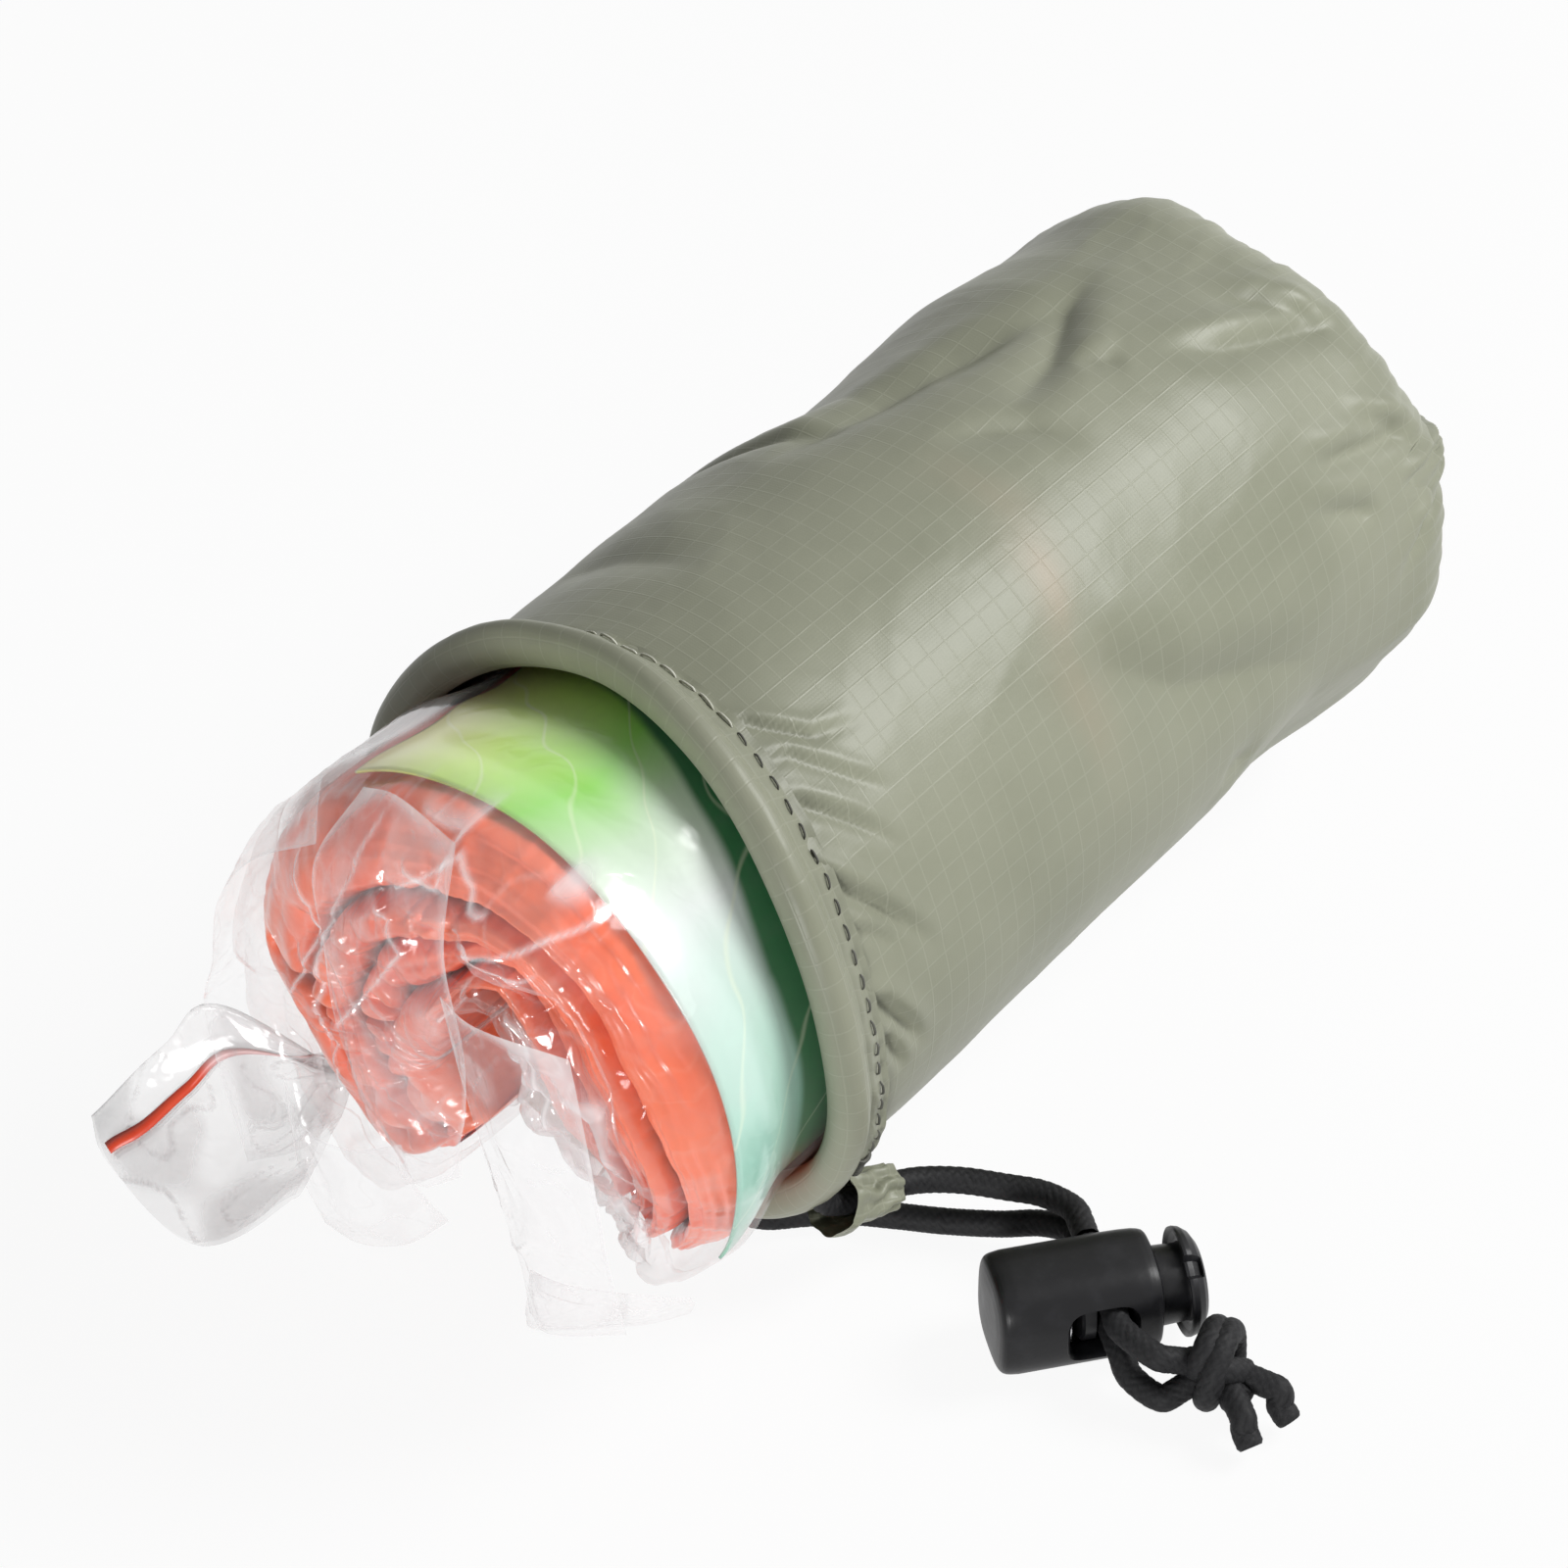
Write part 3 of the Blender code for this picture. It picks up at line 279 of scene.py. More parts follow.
def mathNode(kind, first, second=None, clamp=False):
    node = newNode("Math", first, second)
    node.operation, node.use_clamp = kind, clamp
    fill(node, {place: value for place, value in enumerate((first, second)) if value is not None})
    return node.outputs[0]


def times(first, second):
    return mathNode("MULTIPLY", first, second)


def plus(first, second, clamp=False):
    return mathNode("ADD", first, second, clamp)


def rampNode(factor, stops):
    node = newNode("ValToRGB", factor)
    ramp = node.color_ramp
    while len(ramp.elements) < len(stops):
        ramp.elements.new(0.5)
    for element, (place, colour) in zip(ramp.elements, stops):
        element.position = place
        element.color = (*colour, 1.0)
    return fill(node, {"Fac": factor}).outputs["Color"]


def mixColour(factor, first, second):
    node = newNode("Mix", factor, first, second)
    node.data_type = "RGBA"
    first, second = [(*value, 1.0) if isinstance(value, tuple) else value for value in (first, second)]
    return fill(node, {0: factor, 6: first, 7: second}).outputs[2]


def noiseNode(vector, scale, detail=3.0):
    values = {"Scale": scale, "Detail": detail, "Roughness": 0.55, "Vector": vector}
    return fill(newNode("TexNoise", vector), values).outputs["Fac"]


def bumpNode(height, strength, distance, normal=None):
    node = fill(newNode("Bump", height), {"Strength": strength, "Distance": distance, "Height": height})
    if normal is not None:
        fill(node, {"Normal": normal})
    return node.outputs["Normal"]


def mapRange(value, low, high, toLow=0.0, toHigh=1.0):
    node = newNode("MapRange", value)
    node.interpolation_type = "SMOOTHSTEP"
    fill(node, {"Value": value, "From Min": low, "From Max": high, "To Min": toLow, "To Max": toHigh})
    return node.outputs["Result"]


def seenRays(nodes):
    # 1 for what the camera sees, also in a reflection or through the film
    path = nodes.new("ShaderNodeLightPath").outputs
    seen = mathNode("MAXIMUM", path["Is Camera Ray"], path["Is Glossy Ray"])
    return mathNode("MAXIMUM", seen, path["Is Transmission Ray"])


def makeGroup(name, inputs, outputs):
    # an input without a value is a vector, all else are numbers
    group = bpy.data.node_groups.new(name, "ShaderNodeTree")
    for label, value in inputs.items():
        kind = "NodeSocketVector" if value is None else "NodeSocketFloat"
        socket = group.interface.new_socket(name=label, in_out="INPUT", socket_type=kind)
        if value is not None:
            socket.default_value = value
    for label in outputs:
        group.interface.new_socket(name=label, in_out="OUTPUT", socket_type="NodeSocketFloat")
    return group, group.nodes.new("NodeGroupInput").outputs, group.nodes.new("NodeGroupOutput")


def useGroup(group, values):
    node = newNode("Group", *values.values())
    node.node_tree = group
    return fill(node, values).outputs


def ripstopGroup():
    # thick threads every cell mm both ways over a fine plain weave; the UV is in millimetres
    group, given, out = makeGroup("ripstopWeave", {"UV": None, "Cell": 2.9, "Weave": 0.42}, ("Grid", "Height"))
    split = fill(newNode("SeparateXYZ", given["UV"]), {0: given["UV"]})
    lines, yarns = [], []
    for axis in (0, 1):
        place = mathNode("DIVIDE", split.outputs[axis], given["Cell"])
        lines.append(mapRange(mathNode("PINGPONG", place, 0.5), 0.055, 0.0))
        fine = mathNode("DIVIDE", split.outputs[axis], given["Weave"])
        yarns.append(mathNode("PINGPONG", fine, 0.5))
    grid = mathNode("MAXIMUM", *lines)
    weave = times(times(*yarns), 1.2)
    fill(out, {"Grid": grid, "Height": plus(times(grid, 0.8), weave)})
    return group


def crumpleGroup():
    # small creases of a thin film or cloth, on Object coordinates
    group, given, out = makeGroup("fineCrumple", {"Vector": None, "Scale": 120.0}, ("Height", "Crease"))
    values = {"Detail": 3.0, "Distortion": 0.6, "Vector": given["Vector"], "Scale": given["Scale"]}
    node = fill(newNode("TexNoise", given["Vector"]), values)
    off = mathNode("ABSOLUTE", mathNode("SUBTRACT", node.outputs["Fac"], 0.5))
    height = mathNode("SUBTRACT", 1.0, times(off, 3.0), clamp=True)
    fill(out, {"Height": height, "Crease": mapRange(off, 0.05, 0.0)})
    return group


ripstopWeave = ripstopGroup()
fineCrumple = crumpleGroup()


def fabricMaterial(name, colour, light, roughness, paintedGlow=True):
    material, nodes, shader, place = newMaterial(name)
    weave = useGroup(ripstopWeave, {"UV": uvNode(nodes)})
    crumple = useGroup(fineCrumple, {"Vector": place, "Scale": 90.0})
    blotch = noiseNode(place, 30.0)
    tint = mixColour(mapRange(blotch, 0.3, 0.7), colour, light)
    tint = mixColour(times(weave["Grid"], 0.16), tint, (0.46, 0.47, 0.38))
    # painted glow: the orange packet showing through the thin cloth, mixed into its colour
    if paintedGlow:
        tint = mixColour(times(attributeNode(nodes, "paintedGlow"), 0.32), tint, (0.46, 0.33, 0.24))
    normal = bumpNode(crumple["Height"], 0.10, 0.0005)
    fill(shader, {
        "Base Color": tint,
        "Roughness": plus(times(blotch, 0.12), roughness - 0.06),
        "Specular IOR Level": 0.26,
        "Normal": bumpNode(weave["Height"], 0.25, 0.00010, normal),
    })
    return material


def threadMaterial(name, colour, dark):
    material, nodes, shader, place = newMaterial(name)
    blotch = noiseNode(place, 160.0, 2.0)
    fill(shader, {
        "Base Color": mixColour(mapRange(blotch, 0.35, 0.65), dark, colour),
        "Roughness": 0.6,
        "Normal": bumpNode(noiseNode(place, 2500.0, 2.0), 0.5, 0.0001),
    })
    return material


def braidMaterial():
    material, nodes, shader, place = newMaterial("braidedCord")
    fibres = noiseNode(place, 1800.0, 2.0)
    # darker where the strands dip between each other: painted shade in the braid's crevices
    tint = mixColour(attributeNode(nodes, "relief"), (0.0025, 0.0025, 0.003), (0.017, 0.017, 0.018))
    fill(shader, {
        "Base Color": mixColour(times(fibres, 0.35), tint, (0.026, 0.026, 0.028)),
        "Roughness": 0.62,
        "Specular IOR Level": 0.18,
        "Normal": bumpNode(fibres, 0.6, 0.0001),
    })
    return material


def plasticMaterial():
    material, nodes, shader, place = newMaterial("lockPlastic")
    wear = noiseNode(place, 260.0, 4.0)
    fill(shader, {
        "Base Color": mixColour(mapRange(wear, 0.45, 0.75), (0.006, 0.006, 0.007), (0.013, 0.013, 0.015)),
        "Specular IOR Level": 0.25,
        "Roughness": plus(times(wear, 0.16), 0.30),
        "Normal": bumpNode(noiseNode(place, 1400.0, 2.0), 0.25, 0.00006),
    })
    return material


def steelMaterial():
    material, nodes, shader, place = newMaterial("springSteel")
    draw = noiseNode(place, 900.0)
    fill(shader, {
        "Base Color": mixColour(draw, (0.55, 0.55, 0.57), (0.78, 0.78, 0.8)),
        "Metallic": 1.0,
        "Roughness": plus(times(draw, 0.2), 0.15),
    })
    return material


def orangeMaterial():
    material, nodes, shader, place = newMaterial("orangeFilm")
    crumple = useGroup(fineCrumple, {"Vector": place, "Scale": 150.0})
    tint = mixColour(mapRange(noiseNode(place, 60.0), 0.3, 0.7), (0.90, 0.125, 0.042), (0.98, 0.190, 0.075))
    tint = mixColour(times(crumple["Crease"], 0.12), tint, (0.98, 0.40, 0.28))
    fill(shader, {
        # darker in the deep valleys of the folds: painted shade
        "Base Color": mixColour(attributeNode(nodes, "valley"), tint, (0.17, 0.012, 0.008)),
        "Roughness": 0.32,
        "Specular IOR Level": 0.4,
        "Coat Weight": 0.6,
        "Coat Roughness": 0.10,
        "Normal": bumpNode(crumple["Height"], 0.16, 0.0008),
    })
    return material


def clearMaterial(name, least, most, tint, metal):
    # see-through but for its edges, its fine creases and where it is milky; its milk mask also carries painted
    # glints along the film's creases
    material, nodes, shader, place = newMaterial(name)
    crumple = useGroup(fineCrumple, {"Vector": place, "Scale": 110.0})
    facing = fill(nodes.new("ShaderNodeLayerWeight"), {"Blend": 0.3})
    edge = times(facing.outputs["Facing"], most - least)
    alpha = plus(plus(edge, least), times(crumple["Crease"], 0.02))
    fill(shader, {
        "Base Color": (*tint, 1.0),
        "Metallic": metal,
        "Roughness": 0.12,
        "Normal": bumpNode(crumple["Height"], 0.20, 0.0008),
        "Alpha": plus(alpha, attributeNode(nodes, "milk"), clamp=True),
    })
    return material


def cardMaterial():
    # soft sweeps of yellow green, white, mint and deep green; U runs round the card, V along it. The white
    # sweep is partly print and partly painted glare, and the deep green along the mouth edge is partly print
    # and partly painted shadow of the hem.
    material, nodes, shader, place = newMaterial("cardPrint")
    uv = uvNode(nodes)
    split = fill(newNode("SeparateXYZ", uv), {0: uv}).outputs
    wave = times(mathNode("SUBTRACT", noiseNode(uv, 3.0, 2.0), 0.5), 0.16)
    around = plus(split[0], wave)
    # the pale middle of the sweep: partly print, partly painted glare
    sweep = rampNode(around, (
        (0.03, (0.78, 0.82, 0.24)), (0.13, (0.62, 0.90, 0.15)), (0.27, (0.32, 0.80, 0.11)),
        (0.37, (0.62, 0.80, 0.58)), (0.50, (0.76, 0.82, 0.79)), (0.64, (0.54, 0.76, 0.66)),
        (0.80, (0.34, 0.68, 0.54)), (1.0, (0.22, 0.54, 0.38))))
    slant = times(mathNode("MINIMUM", split[0], 0.62), 0.26)
    deep = plus(plus(split[1], slant), times(wave, 0.35))
    # deep green towards the mouth edge: partly print, partly painted shadow of the hem
    tint = mixColour(mapRange(deep, 0.302, 0.322), sweep, (0.012, 0.17, 0.045))
    streak = plus(times(split[1], 1.4), times(around, 1.1))
    band = mathNode("PINGPONG", plus(streak, times(wave, 1.6)), 0.10)
    fill(shader, {
        "Base Color": mixColour(times(mapRange(band, 0.007, 0.0), 0.30), tint, (0.93, 0.98, 0.72)),
        "Roughness": 0.3,
        "Coat Weight": 0.8,
        "Coat Roughness": 0.12,
        "Normal": bumpNode(noiseNode(place, 900.0, 2.0), 0.1, 0.0001),
    })
    return material


def lineMaterial():
    material, nodes, shader, place = newMaterial("zipLine")
    grain = noiseNode(place, 700.0, 2.0)
    tint = mixColour(grain, (0.95, 0.060, 0.015), (1.0, 0.110, 0.035))
    fill(shader, {
        "Base Color": mixColour(attributeNode(nodes, "milk"), tint, (0.92, 0.66, 0.66)),
        "Roughness": 0.35,
        "Normal": bumpNode(grain, 0.15, 0.0001),
    })
    return material


ripstop = fabricMaterial("ripstopNylon", (0.232, 0.241, 0.176), (0.272, 0.280, 0.210), 0.39)
lining = fabricMaterial("coatedLining", (0.085, 0.088, 0.068), (0.12, 0.12, 0.095), 0.55, paintedGlow=False)
threadLight = threadMaterial("paleThread", (0.72, 0.72, 0.64), (0.50, 0.50, 0.42))
# the same thread made darker: painted shade for the stitches and bar tack on the hem's lower right
threadShaded = threadMaterial("shadedThread", (0.10, 0.10, 0.085), (0.045, 0.045, 0.036))
braid = braidMaterial()
lockPlastic = plasticMaterial()
springSteel = steelMaterial()
orangeFilm = orangeMaterial()
clearFilm = clearMaterial("clearFilm", 0.02, 0.27, (0.99, 0.97, 0.98), 0.35)
milkyFilm = clearMaterial("milkyFilm", 0.11, 0.32, (1.0, 0.99, 1.0), 0.05)
cardPrint = cardMaterial()
zipLine = lineMaterial()
print("materials made")


# Routes and tubes


def smoothRoute(points, step):
    # the same curve as the part's cords: smooth through the points, straight in its first and last stretch
    points = np.asarray(points, float)
    a, b, c, d = points[:-3], points[1:-2], points[2:-1], points[3:]
    steps = 24  # in each stretch
    t = (np.arange(steps) / steps)[None, :, None]
    a, b, c, d = [part[:, None, :] for part in (a, b, c, d)]
    bend = (2 * a - 5 * b + 4 * c - d) * t**2 + (3 * b - a - 3 * c + d) * t**3
    fine = ((2 * b + (c - a) * t + bend) / 2).reshape(-1, 3)
    fine = np.vstack([points[:1], fine, points[-2:]])
    return evenRoute(fine, step)


def evenRoute(fine, step):
    gaps = np.linalg.norm(np.diff(fine, axis=0), axis=1)
    done = np.concatenate([[0], np.cumsum(gaps)])
    count = max(2, int(round(done[-1] / step)) + 1)
    where = np.linspace(0, done[-1], count)
    return np.stack([np.interp(where, done, fine[:, k]) for k in range(3)], -1)


def routeLength(route):
    return float(np.linalg.norm(np.diff(route, axis=0), axis=1).sum())


def tubeFrames(route):
    # two ways square to the route, carried on with no twist
    way = np.gradient(route, axis=0)
    way /= np.linalg.norm(way, axis=1, keepdims=True)
    side = np.zeros_like(way)
    start = np.cross(way[0], (0.0, 0.0, 1.0))
    side[0] = start / np.linalg.norm(start)
    for k in range(1, len(way)):
        leaning = side[k - 1] - way[k] * np.dot(side[k - 1], way[k])
        side[k] = leaning / np.linalg.norm(leaning)
    return side, np.cross(way, side)


def ringsRound(route, side, up, reach, around):
    # a ring of points round each point of the route
    return (
        route[:, None] + side[:, None] * (reach * np.cos(around))[..., None]
        + up[:, None] * (reach * np.sin(around))[..., None]
    )


def braidRelief(along, around, setup):
    # two families of strands cross at 8 places round the cord and pass over and under by turns
    a = around * setup["carriers"] / (2 * np.pi) + along / setup["pitch"]
    b = around * setup["carriers"] / (2 * np.pi) - along / setup["pitch"]
    over = (np.floor(a) + np.floor(b)) % 2 < 1
    crest = np.where(over, np.sin(np.pi * (a % 1)), np.sin(np.pi * (b % 1)))
    return np.abs(crest) ** 0.6


braidSetup = {"diameter": 3.2, "carriers": 8, "pitch": 1.15, "depth": 0.17, "sides": 40, "step": 0.22}


def braidedTube(name, route, capped=True, radius=None):
    # a circle carried along the route, its radius lowered between the braid's strands
    route = evenRoute(np.asarray(route, float), braidSetup["step"])
    side, up = tubeFrames(route)
    around = np.linspace(0, 2 * np.pi, braidSetup["sides"], endpoint=False)[None, :]
    along = (np.arange(len(route)) * routeLength(route) / (len(route) - 1))[:, None]
    relief = braidRelief(along, around, braidSetup)
    reach = (radius or braidSetup["diameter"] / 2) - braidSetup["depth"] * (1 - relief)
    if capped:
        ends = np.minimum(along, along[-1] - along)
        reach = reach * np.clip(0.82 + 0.18 * ends / 0.4, 0, 1)
    points = ringsRound(route, side, up, reach, around)
    if capped:
        rings = [route[:1, None] + (points[:1] - route[:1, None]) * share for share in (0.02, 0.5, 0.85)]
        tail = [route[-1:, None] + (points[-1:] - route[-1:, None]) * share for share in (0.85, 0.5, 0.02)]
        points = np.concatenate(rings + [points] + tail)
        relief = np.concatenate([relief[:1] * 0.4] * 3 + [relief] + [relief[-1:] * 0.4] * 3)
    uv = evenUv(points, braidSetup["step"], 0.25)
    return gridMesh(name, points, uv, closedColumns=True, attributes={"relief": relief})


# The sack's form: an oval tube, a quarter round, then a nearly flat end

sackSetup = {
    "halfWidth": 36.0,
    "halfHeight": 37.8,
    "axisY": 0.5,
    "axisZ": 36.8,
    "mouthX": -31.0,
    "endX": 87.0,
    "endRound": 15.0,
    "endBulge": 2.0,
    "mouthLean": ((165.0, 48.0, -5.0), (85.0, 50.0, 1.5)),
    "rows": 290,
    "columns": 328,
    "girth": 232,
}
hemSetup = {
    "width": 8.5,
    "halfWidth": 38.4,
    "halfHeight": 39.0,
    "halfThickness": 2.4,
    "edgeHalfThickness": 0.65,
    "stitchLine": (35.75, 37.55),
    "steps": 44,
    "girth": 236,
    "weaveStart": -149.0,
    "cordSteps": (31, 70),
    "cordRadius": 1.2,  # under the real one, so that the narrowed rim covers it
}


def mouthShift(angle):
    total = 0.0
    for centre, spread, far in sackSetup["mouthLean"]:
        total = total + far * bell(turned(angle, centre), spread)
    return total


def hemHalfThickness(along):
    share = smooth(along / (0.55 * hemSetup["width"]))
    edge = hemSetup["edgeHalfThickness"]
    return edge + (hemSetup["halfThickness"] - edge) * share


def hemNarrow(angle):
    # the casing is wider at the right side than over the top
    return 1 - 0.26 * bell(turned(angle, 72), 42)


def hemOuter(along):
    # the cloth lies low behind the cord, so the rim stands out as a bead
    return hemHalfThickness(along) * (1 - 0.52 * bell(along - 3.4, 1.35))


def hemPoint(angle, along, out):
    # a point out from the hem's middle surface, along mm in front of the stitch line
    angle, along, out = together(angle, along, out)
    turn = np.radians(angle)
    share = smooth(along / (0.55 * hemSetup["width"]))
    rimWidth = hemSetup["halfWidth"] - hemSetup["halfThickness"]
    rimHeight = hemSetup["halfHeight"] - hemSetup["halfThickness"]
    width, height = hemSetup["stitchLine"]
    halfWidth = width + (rimWidth - width) * share
    halfHeight = height + (rimHeight - height) * share
    middleZ = sackSetup["axisZ"] + (hemSetup["halfHeight"] - sackSetup["axisZ"]) * share
    z = np.maximum(middleZ + halfHeight * np.sin(turn), hemHalfThickness(along))
    x = sackSetup["mouthX"] - pieceGap - along * hemNarrow(angle) + mouthShift(angle)
    return np.stack([x, sackSetup["axisY"] + (halfWidth + out) * np.cos(turn), z + out * np.sin(turn)], -1)


def hemCordEnd(step):
    # the cord in the hem ends here, and the second point shows which way it runs
    before = step + (1 if step < 50 else -1)
    along = hemSetup["width"] - hemSetup["halfThickness"]
    end, inner = [hemPoint(360.0 * k / hemSetup["steps"], along, 0.0) for k in (step, before)]
    way = (end - inner) / np.linalg.norm(end - inner)
    return [end + way * pieceGap, end + way * braidSetup["diameter"] / 2]


# Drawcord: the free length runs from the hem through the lock to the knot

cordRoutes = {
    "upperLeg": [
        (-37.6, -29.2, 14.0), (-33.9, -30.1, 11.8), (-29.2, -30.8, 10.3), (-24.8, -32.6, 9.2),
        (-21.2, -36.2, 8.6), (-18.6, -40.9, 8.4), (-16.9, -45.2, 8.6), (-17.0, -49.84, 8.8),
        (-19.62, -53.19, 8.8)],
    "lowerLeg": [
        (-36.9, -15.4, 3.1), (-35.0, -18.4, 2.2), (-31.6, -21.4, 1.85), (-28.2, -25.2, 1.85),
        (-25.4, -29.8, 1.9), (-22.6, -35.2, 2.2), (-19.6, -40.9, 3.0), (-17.3, -45.4, 4.2),
        (-17.0, -49.84, 5.2), (-19.62, -53.19, 5.2)],
    "upperStrand": [(-19.8, -53.42, 8.8), (-22.3, -56.6, 8.8), (-26.6, -62.05, 8.8), (-28.5, -64.6, 8.7)],
    "lowerStrand": [
        (-19.8, -53.42, 5.2), (-22.3, -56.6, 5.2), (-26.6, -62.05, 5.2), (-28.6, -64.75, 5.0),
        (-30.0, -67.3, 3.8)],
    "upperTail": [(-22.8, -82.8, 3.4), (-23.0, -84.4, 2.2)],
    "lowerTail": [(-28.3, -81.8, 3.3), (-28.9, -83.2, 2.2)],
}
knotSetup = {
    "at": (-23.8, -74.9, 5.9),
    "radius": 5.6,
    "upperStrand": (-3.7, 3.2, 1.7),
    "lowerStrand": (-4.4, 2.2, -1.9),
    "upperTail": (1.1, -5.0, -0.4),
    "lowerTail": (-2.7, -4.2, -0.7),
    "wrapRadius": 4.0,
    "turns": 2.0,
}


def atKnot(name, deep=0.0):
    way = np.array(knotSetup[name])
    way = way / np.linalg.norm(way)
    middle = np.array(knotSetup["at"])
    outside = knotSetup["radius"] + braidSetup["diameter"] / 2
    return [middle + way * (knotSetup["radius"] + pieceGap - deep), middle + way * outside]


hemCord = hemPoint(
    360.0 * np.linspace(*hemSetup["cordSteps"], 260) / hemSetup["steps"],
    hemSetup["width"] - hemSetup["halfThickness"], 0.0
)
upperLeg = smoothRoute(hemCordEnd(hemSetup["cordSteps"][1]) + cordRoutes["upperLeg"], 1.0)
lowerLeg = smoothRoute(hemCordEnd(hemSetup["cordSteps"][0]) + cordRoutes["lowerLeg"], 1.0)
upperStrand = smoothRoute(cordRoutes["upperStrand"] + atKnot("upperStrand", 3.0)[::-1], 0.5)
lowerStrand = smoothRoute(cordRoutes["lowerStrand"] + atKnot("lowerStrand", 3.0)[::-1], 0.5)
upperTail = smoothRoute(atKnot("upperTail", 3.0) + cordRoutes["upperTail"], 0.3)
lowerTail = smoothRoute(atKnot("lowerTail", 3.0) + cordRoutes["lowerTail"], 0.3)

cords = {}
for name, route, body, capped, radius in (
    ("InHem", hemCord, "sack", True, hemSetup["cordRadius"]),
    ("LegUpper", upperLeg, None, False, None),
    ("LegLower", lowerLeg, None, False, None),
    ("StrandUpper", upperStrand, None, True, None),
    ("StrandLower", lowerStrand, None, True, None),
    ("TailUpper", upperTail, "sack", True, None),
    ("TailLower", lowerTail, "sack", True, None),
):
    # the node's name is the piece's, spelt with underscores
    node = "drawcord" + "".join("_" + letter.lower() if letter.isupper() else letter for letter in name)
    mesh = braidedTube("cord" + name, route, capped, radius)
    cords[name] = addPiece("cord" + name, mesh, body, braid, (node,))


def knotMesh():
    # both cords wound as one flat pair round their own core: a short coil whose ends dive inwards
    middle = np.array(knotSetup["at"])
    axis = np.array([0.42, -0.90, -0.10])
    axis /= np.linalg.norm(axis)
    side = np.cross(axis, (0, 0, 1.0))
    side /= np.linalg.norm(side)
    up = np.cross(side, axis)
    t = np.linspace(0, 1, 160)[:, None]
    turn = 2 * np.pi * knotSetup["turns"] * t
    reach = knotSetup["wrapRadius"] * (0.35 + 0.65 * smooth(t / 0.10) * smooth((1 - t) / 0.10))
    lean = 1.5 * np.sin(turn * 0.5 + 0.6)
    coil = middle + axis * (-3.0 + 6.0 * t + 0.5 * lean) + reach * (np.cos(turn) * side + np.sin(turn) * up)
    cross = np.linspace(0, 1, 80)[:, None]
    bridge = middle + axis * (3.2 - 6.4 * cross) + 3.4 * np.sin(np.pi * cross) * (0.75 * side + 0.66 * up)
    return join("cordKnot", [braidedTube("coil", coil), braidedTube("bridge", bridge)])


knot = addPiece("cordKnot", knotMesh(), "sack", braid, ("drawcord_knot",))
print(
    "drawcord routed:", round(routeLength(upperLeg), 1), "and", round(routeLength(lowerLeg), 1),
    "mm of free leg"
)


# Cord lock, in its own frame: X along the barrel, Y along the cord hole

lockSetup = {
    "end": (-34.7, -50.7, 7.0),
    "turn": -38.1,
    "length": 19.0,
    "height": 13.4,
    "depth": 12.4,
    "floor": 1.8,
    "bore": 4.9,
    "holeAt": 11.8,
    "holeHalf": 3.7,
    "clearance": 0.25,
    "offset": 3.2,
    "web": 1.6,
}


def fromLock(points):
    turn = math.radians(lockSetup["turn"])
    spin = np.array([[math.cos(turn), -math.sin(turn), 0], [math.sin(turn), math.cos(turn), 0], [0, 0, 1]])
    return points @ spin.T + np.array(lockSetup["end"])


def superRing(x, halfDepth, halfHeight, power, count):
    # a rounded-square ring: cosine and sine raised to 2/power, keeping their signs
    turn = np.linspace(0, 2 * np.pi, count, endpoint=False)[None, :]
    c, s = np.cos(turn), np.sin(turn)
    y = halfDepth[:, None] * np.sign(c) * np.abs(c) ** (2 / power)
    z = halfHeight[:, None] * np.sign(s) * np.abs(s) ** (2 / power)
    return np.stack([np.broadcast_to(x[:, None], y.shape), y, z], -1)


def ringMesh(name, points):
    # closed body through rings along X, with its ends drawn in to a point
    mesh = gridMesh(name, fromLock(points), closedColumns=True, merge=True)
    rework(mesh, lambda work: bmesh.ops.recalc_face_normals(work, faces=work.faces))
    mesh.shade_smooth()
    return mesh


def cutWith(piece, name, points):
    cutter = bpy.data.objects.new(name, ringMesh(name, points))
    scene.collection.objects.link(cutter)
    cut = piece.modifiers.new(name, "BOOLEAN")
    cut.operation, cut.solver, cut.object = "DIFFERENCE", "EXACT", cutter
    return cutter


def applyCuts(piece, cutters):
    bpy.context.view_layer.update()
    solid = bpy.data.meshes.new_from_object(piece.evaluated_get(bpy.context.evaluated_depsgraph_get()))
    piece.modifiers.clear()
    piece.data = solid
    solid.shade_smooth()
    solid.set_sharp_from_angle(angle=math.radians(32))
    for cutter in cutters:
        bpy.data.objects.remove(cutter, do_unlink=True)


def finer(values, count):
    return np.interp(np.linspace(0, len(values) - 1, count), np.arange(len(values)), values)


def barrelRings():
    # the end cap is a shallow dome, then the edge rolls over into the side within a millimetre
    x = np.array([-0.35, -0.33, -0.25, -0.1, 0.05, 0.2, 0.45, 0.8, 1.3, 2.2,
                  5.0, 9.0, 13.0, 16.0, 17.6, 18.3, 18.75, 19.0, 19.0, 19.0])
    size = np.array([0.0, 0.3, 0.6, 0.78, 0.86, 0.905, 0.945, 0.97, 0.985, 1.0,
                     1.0, 1.0, 1.0, 0.99, 0.975, 0.955, 0.93, 0.89, 0.8, 0.0])
    x, size = finer(x, 90), finer(size, 90)
    return superRing(x, size * lockSetup["depth"] / 2, size * lockSetup["height"] / 2, 2.9, 96)


def roundCutter(start, end, radius):
    x = np.array([start, start, end, end])
    return superRing(x, np.array([0, radius, radius, 0]), np.array([0, radius, radius, 0]), 2.0, 64)


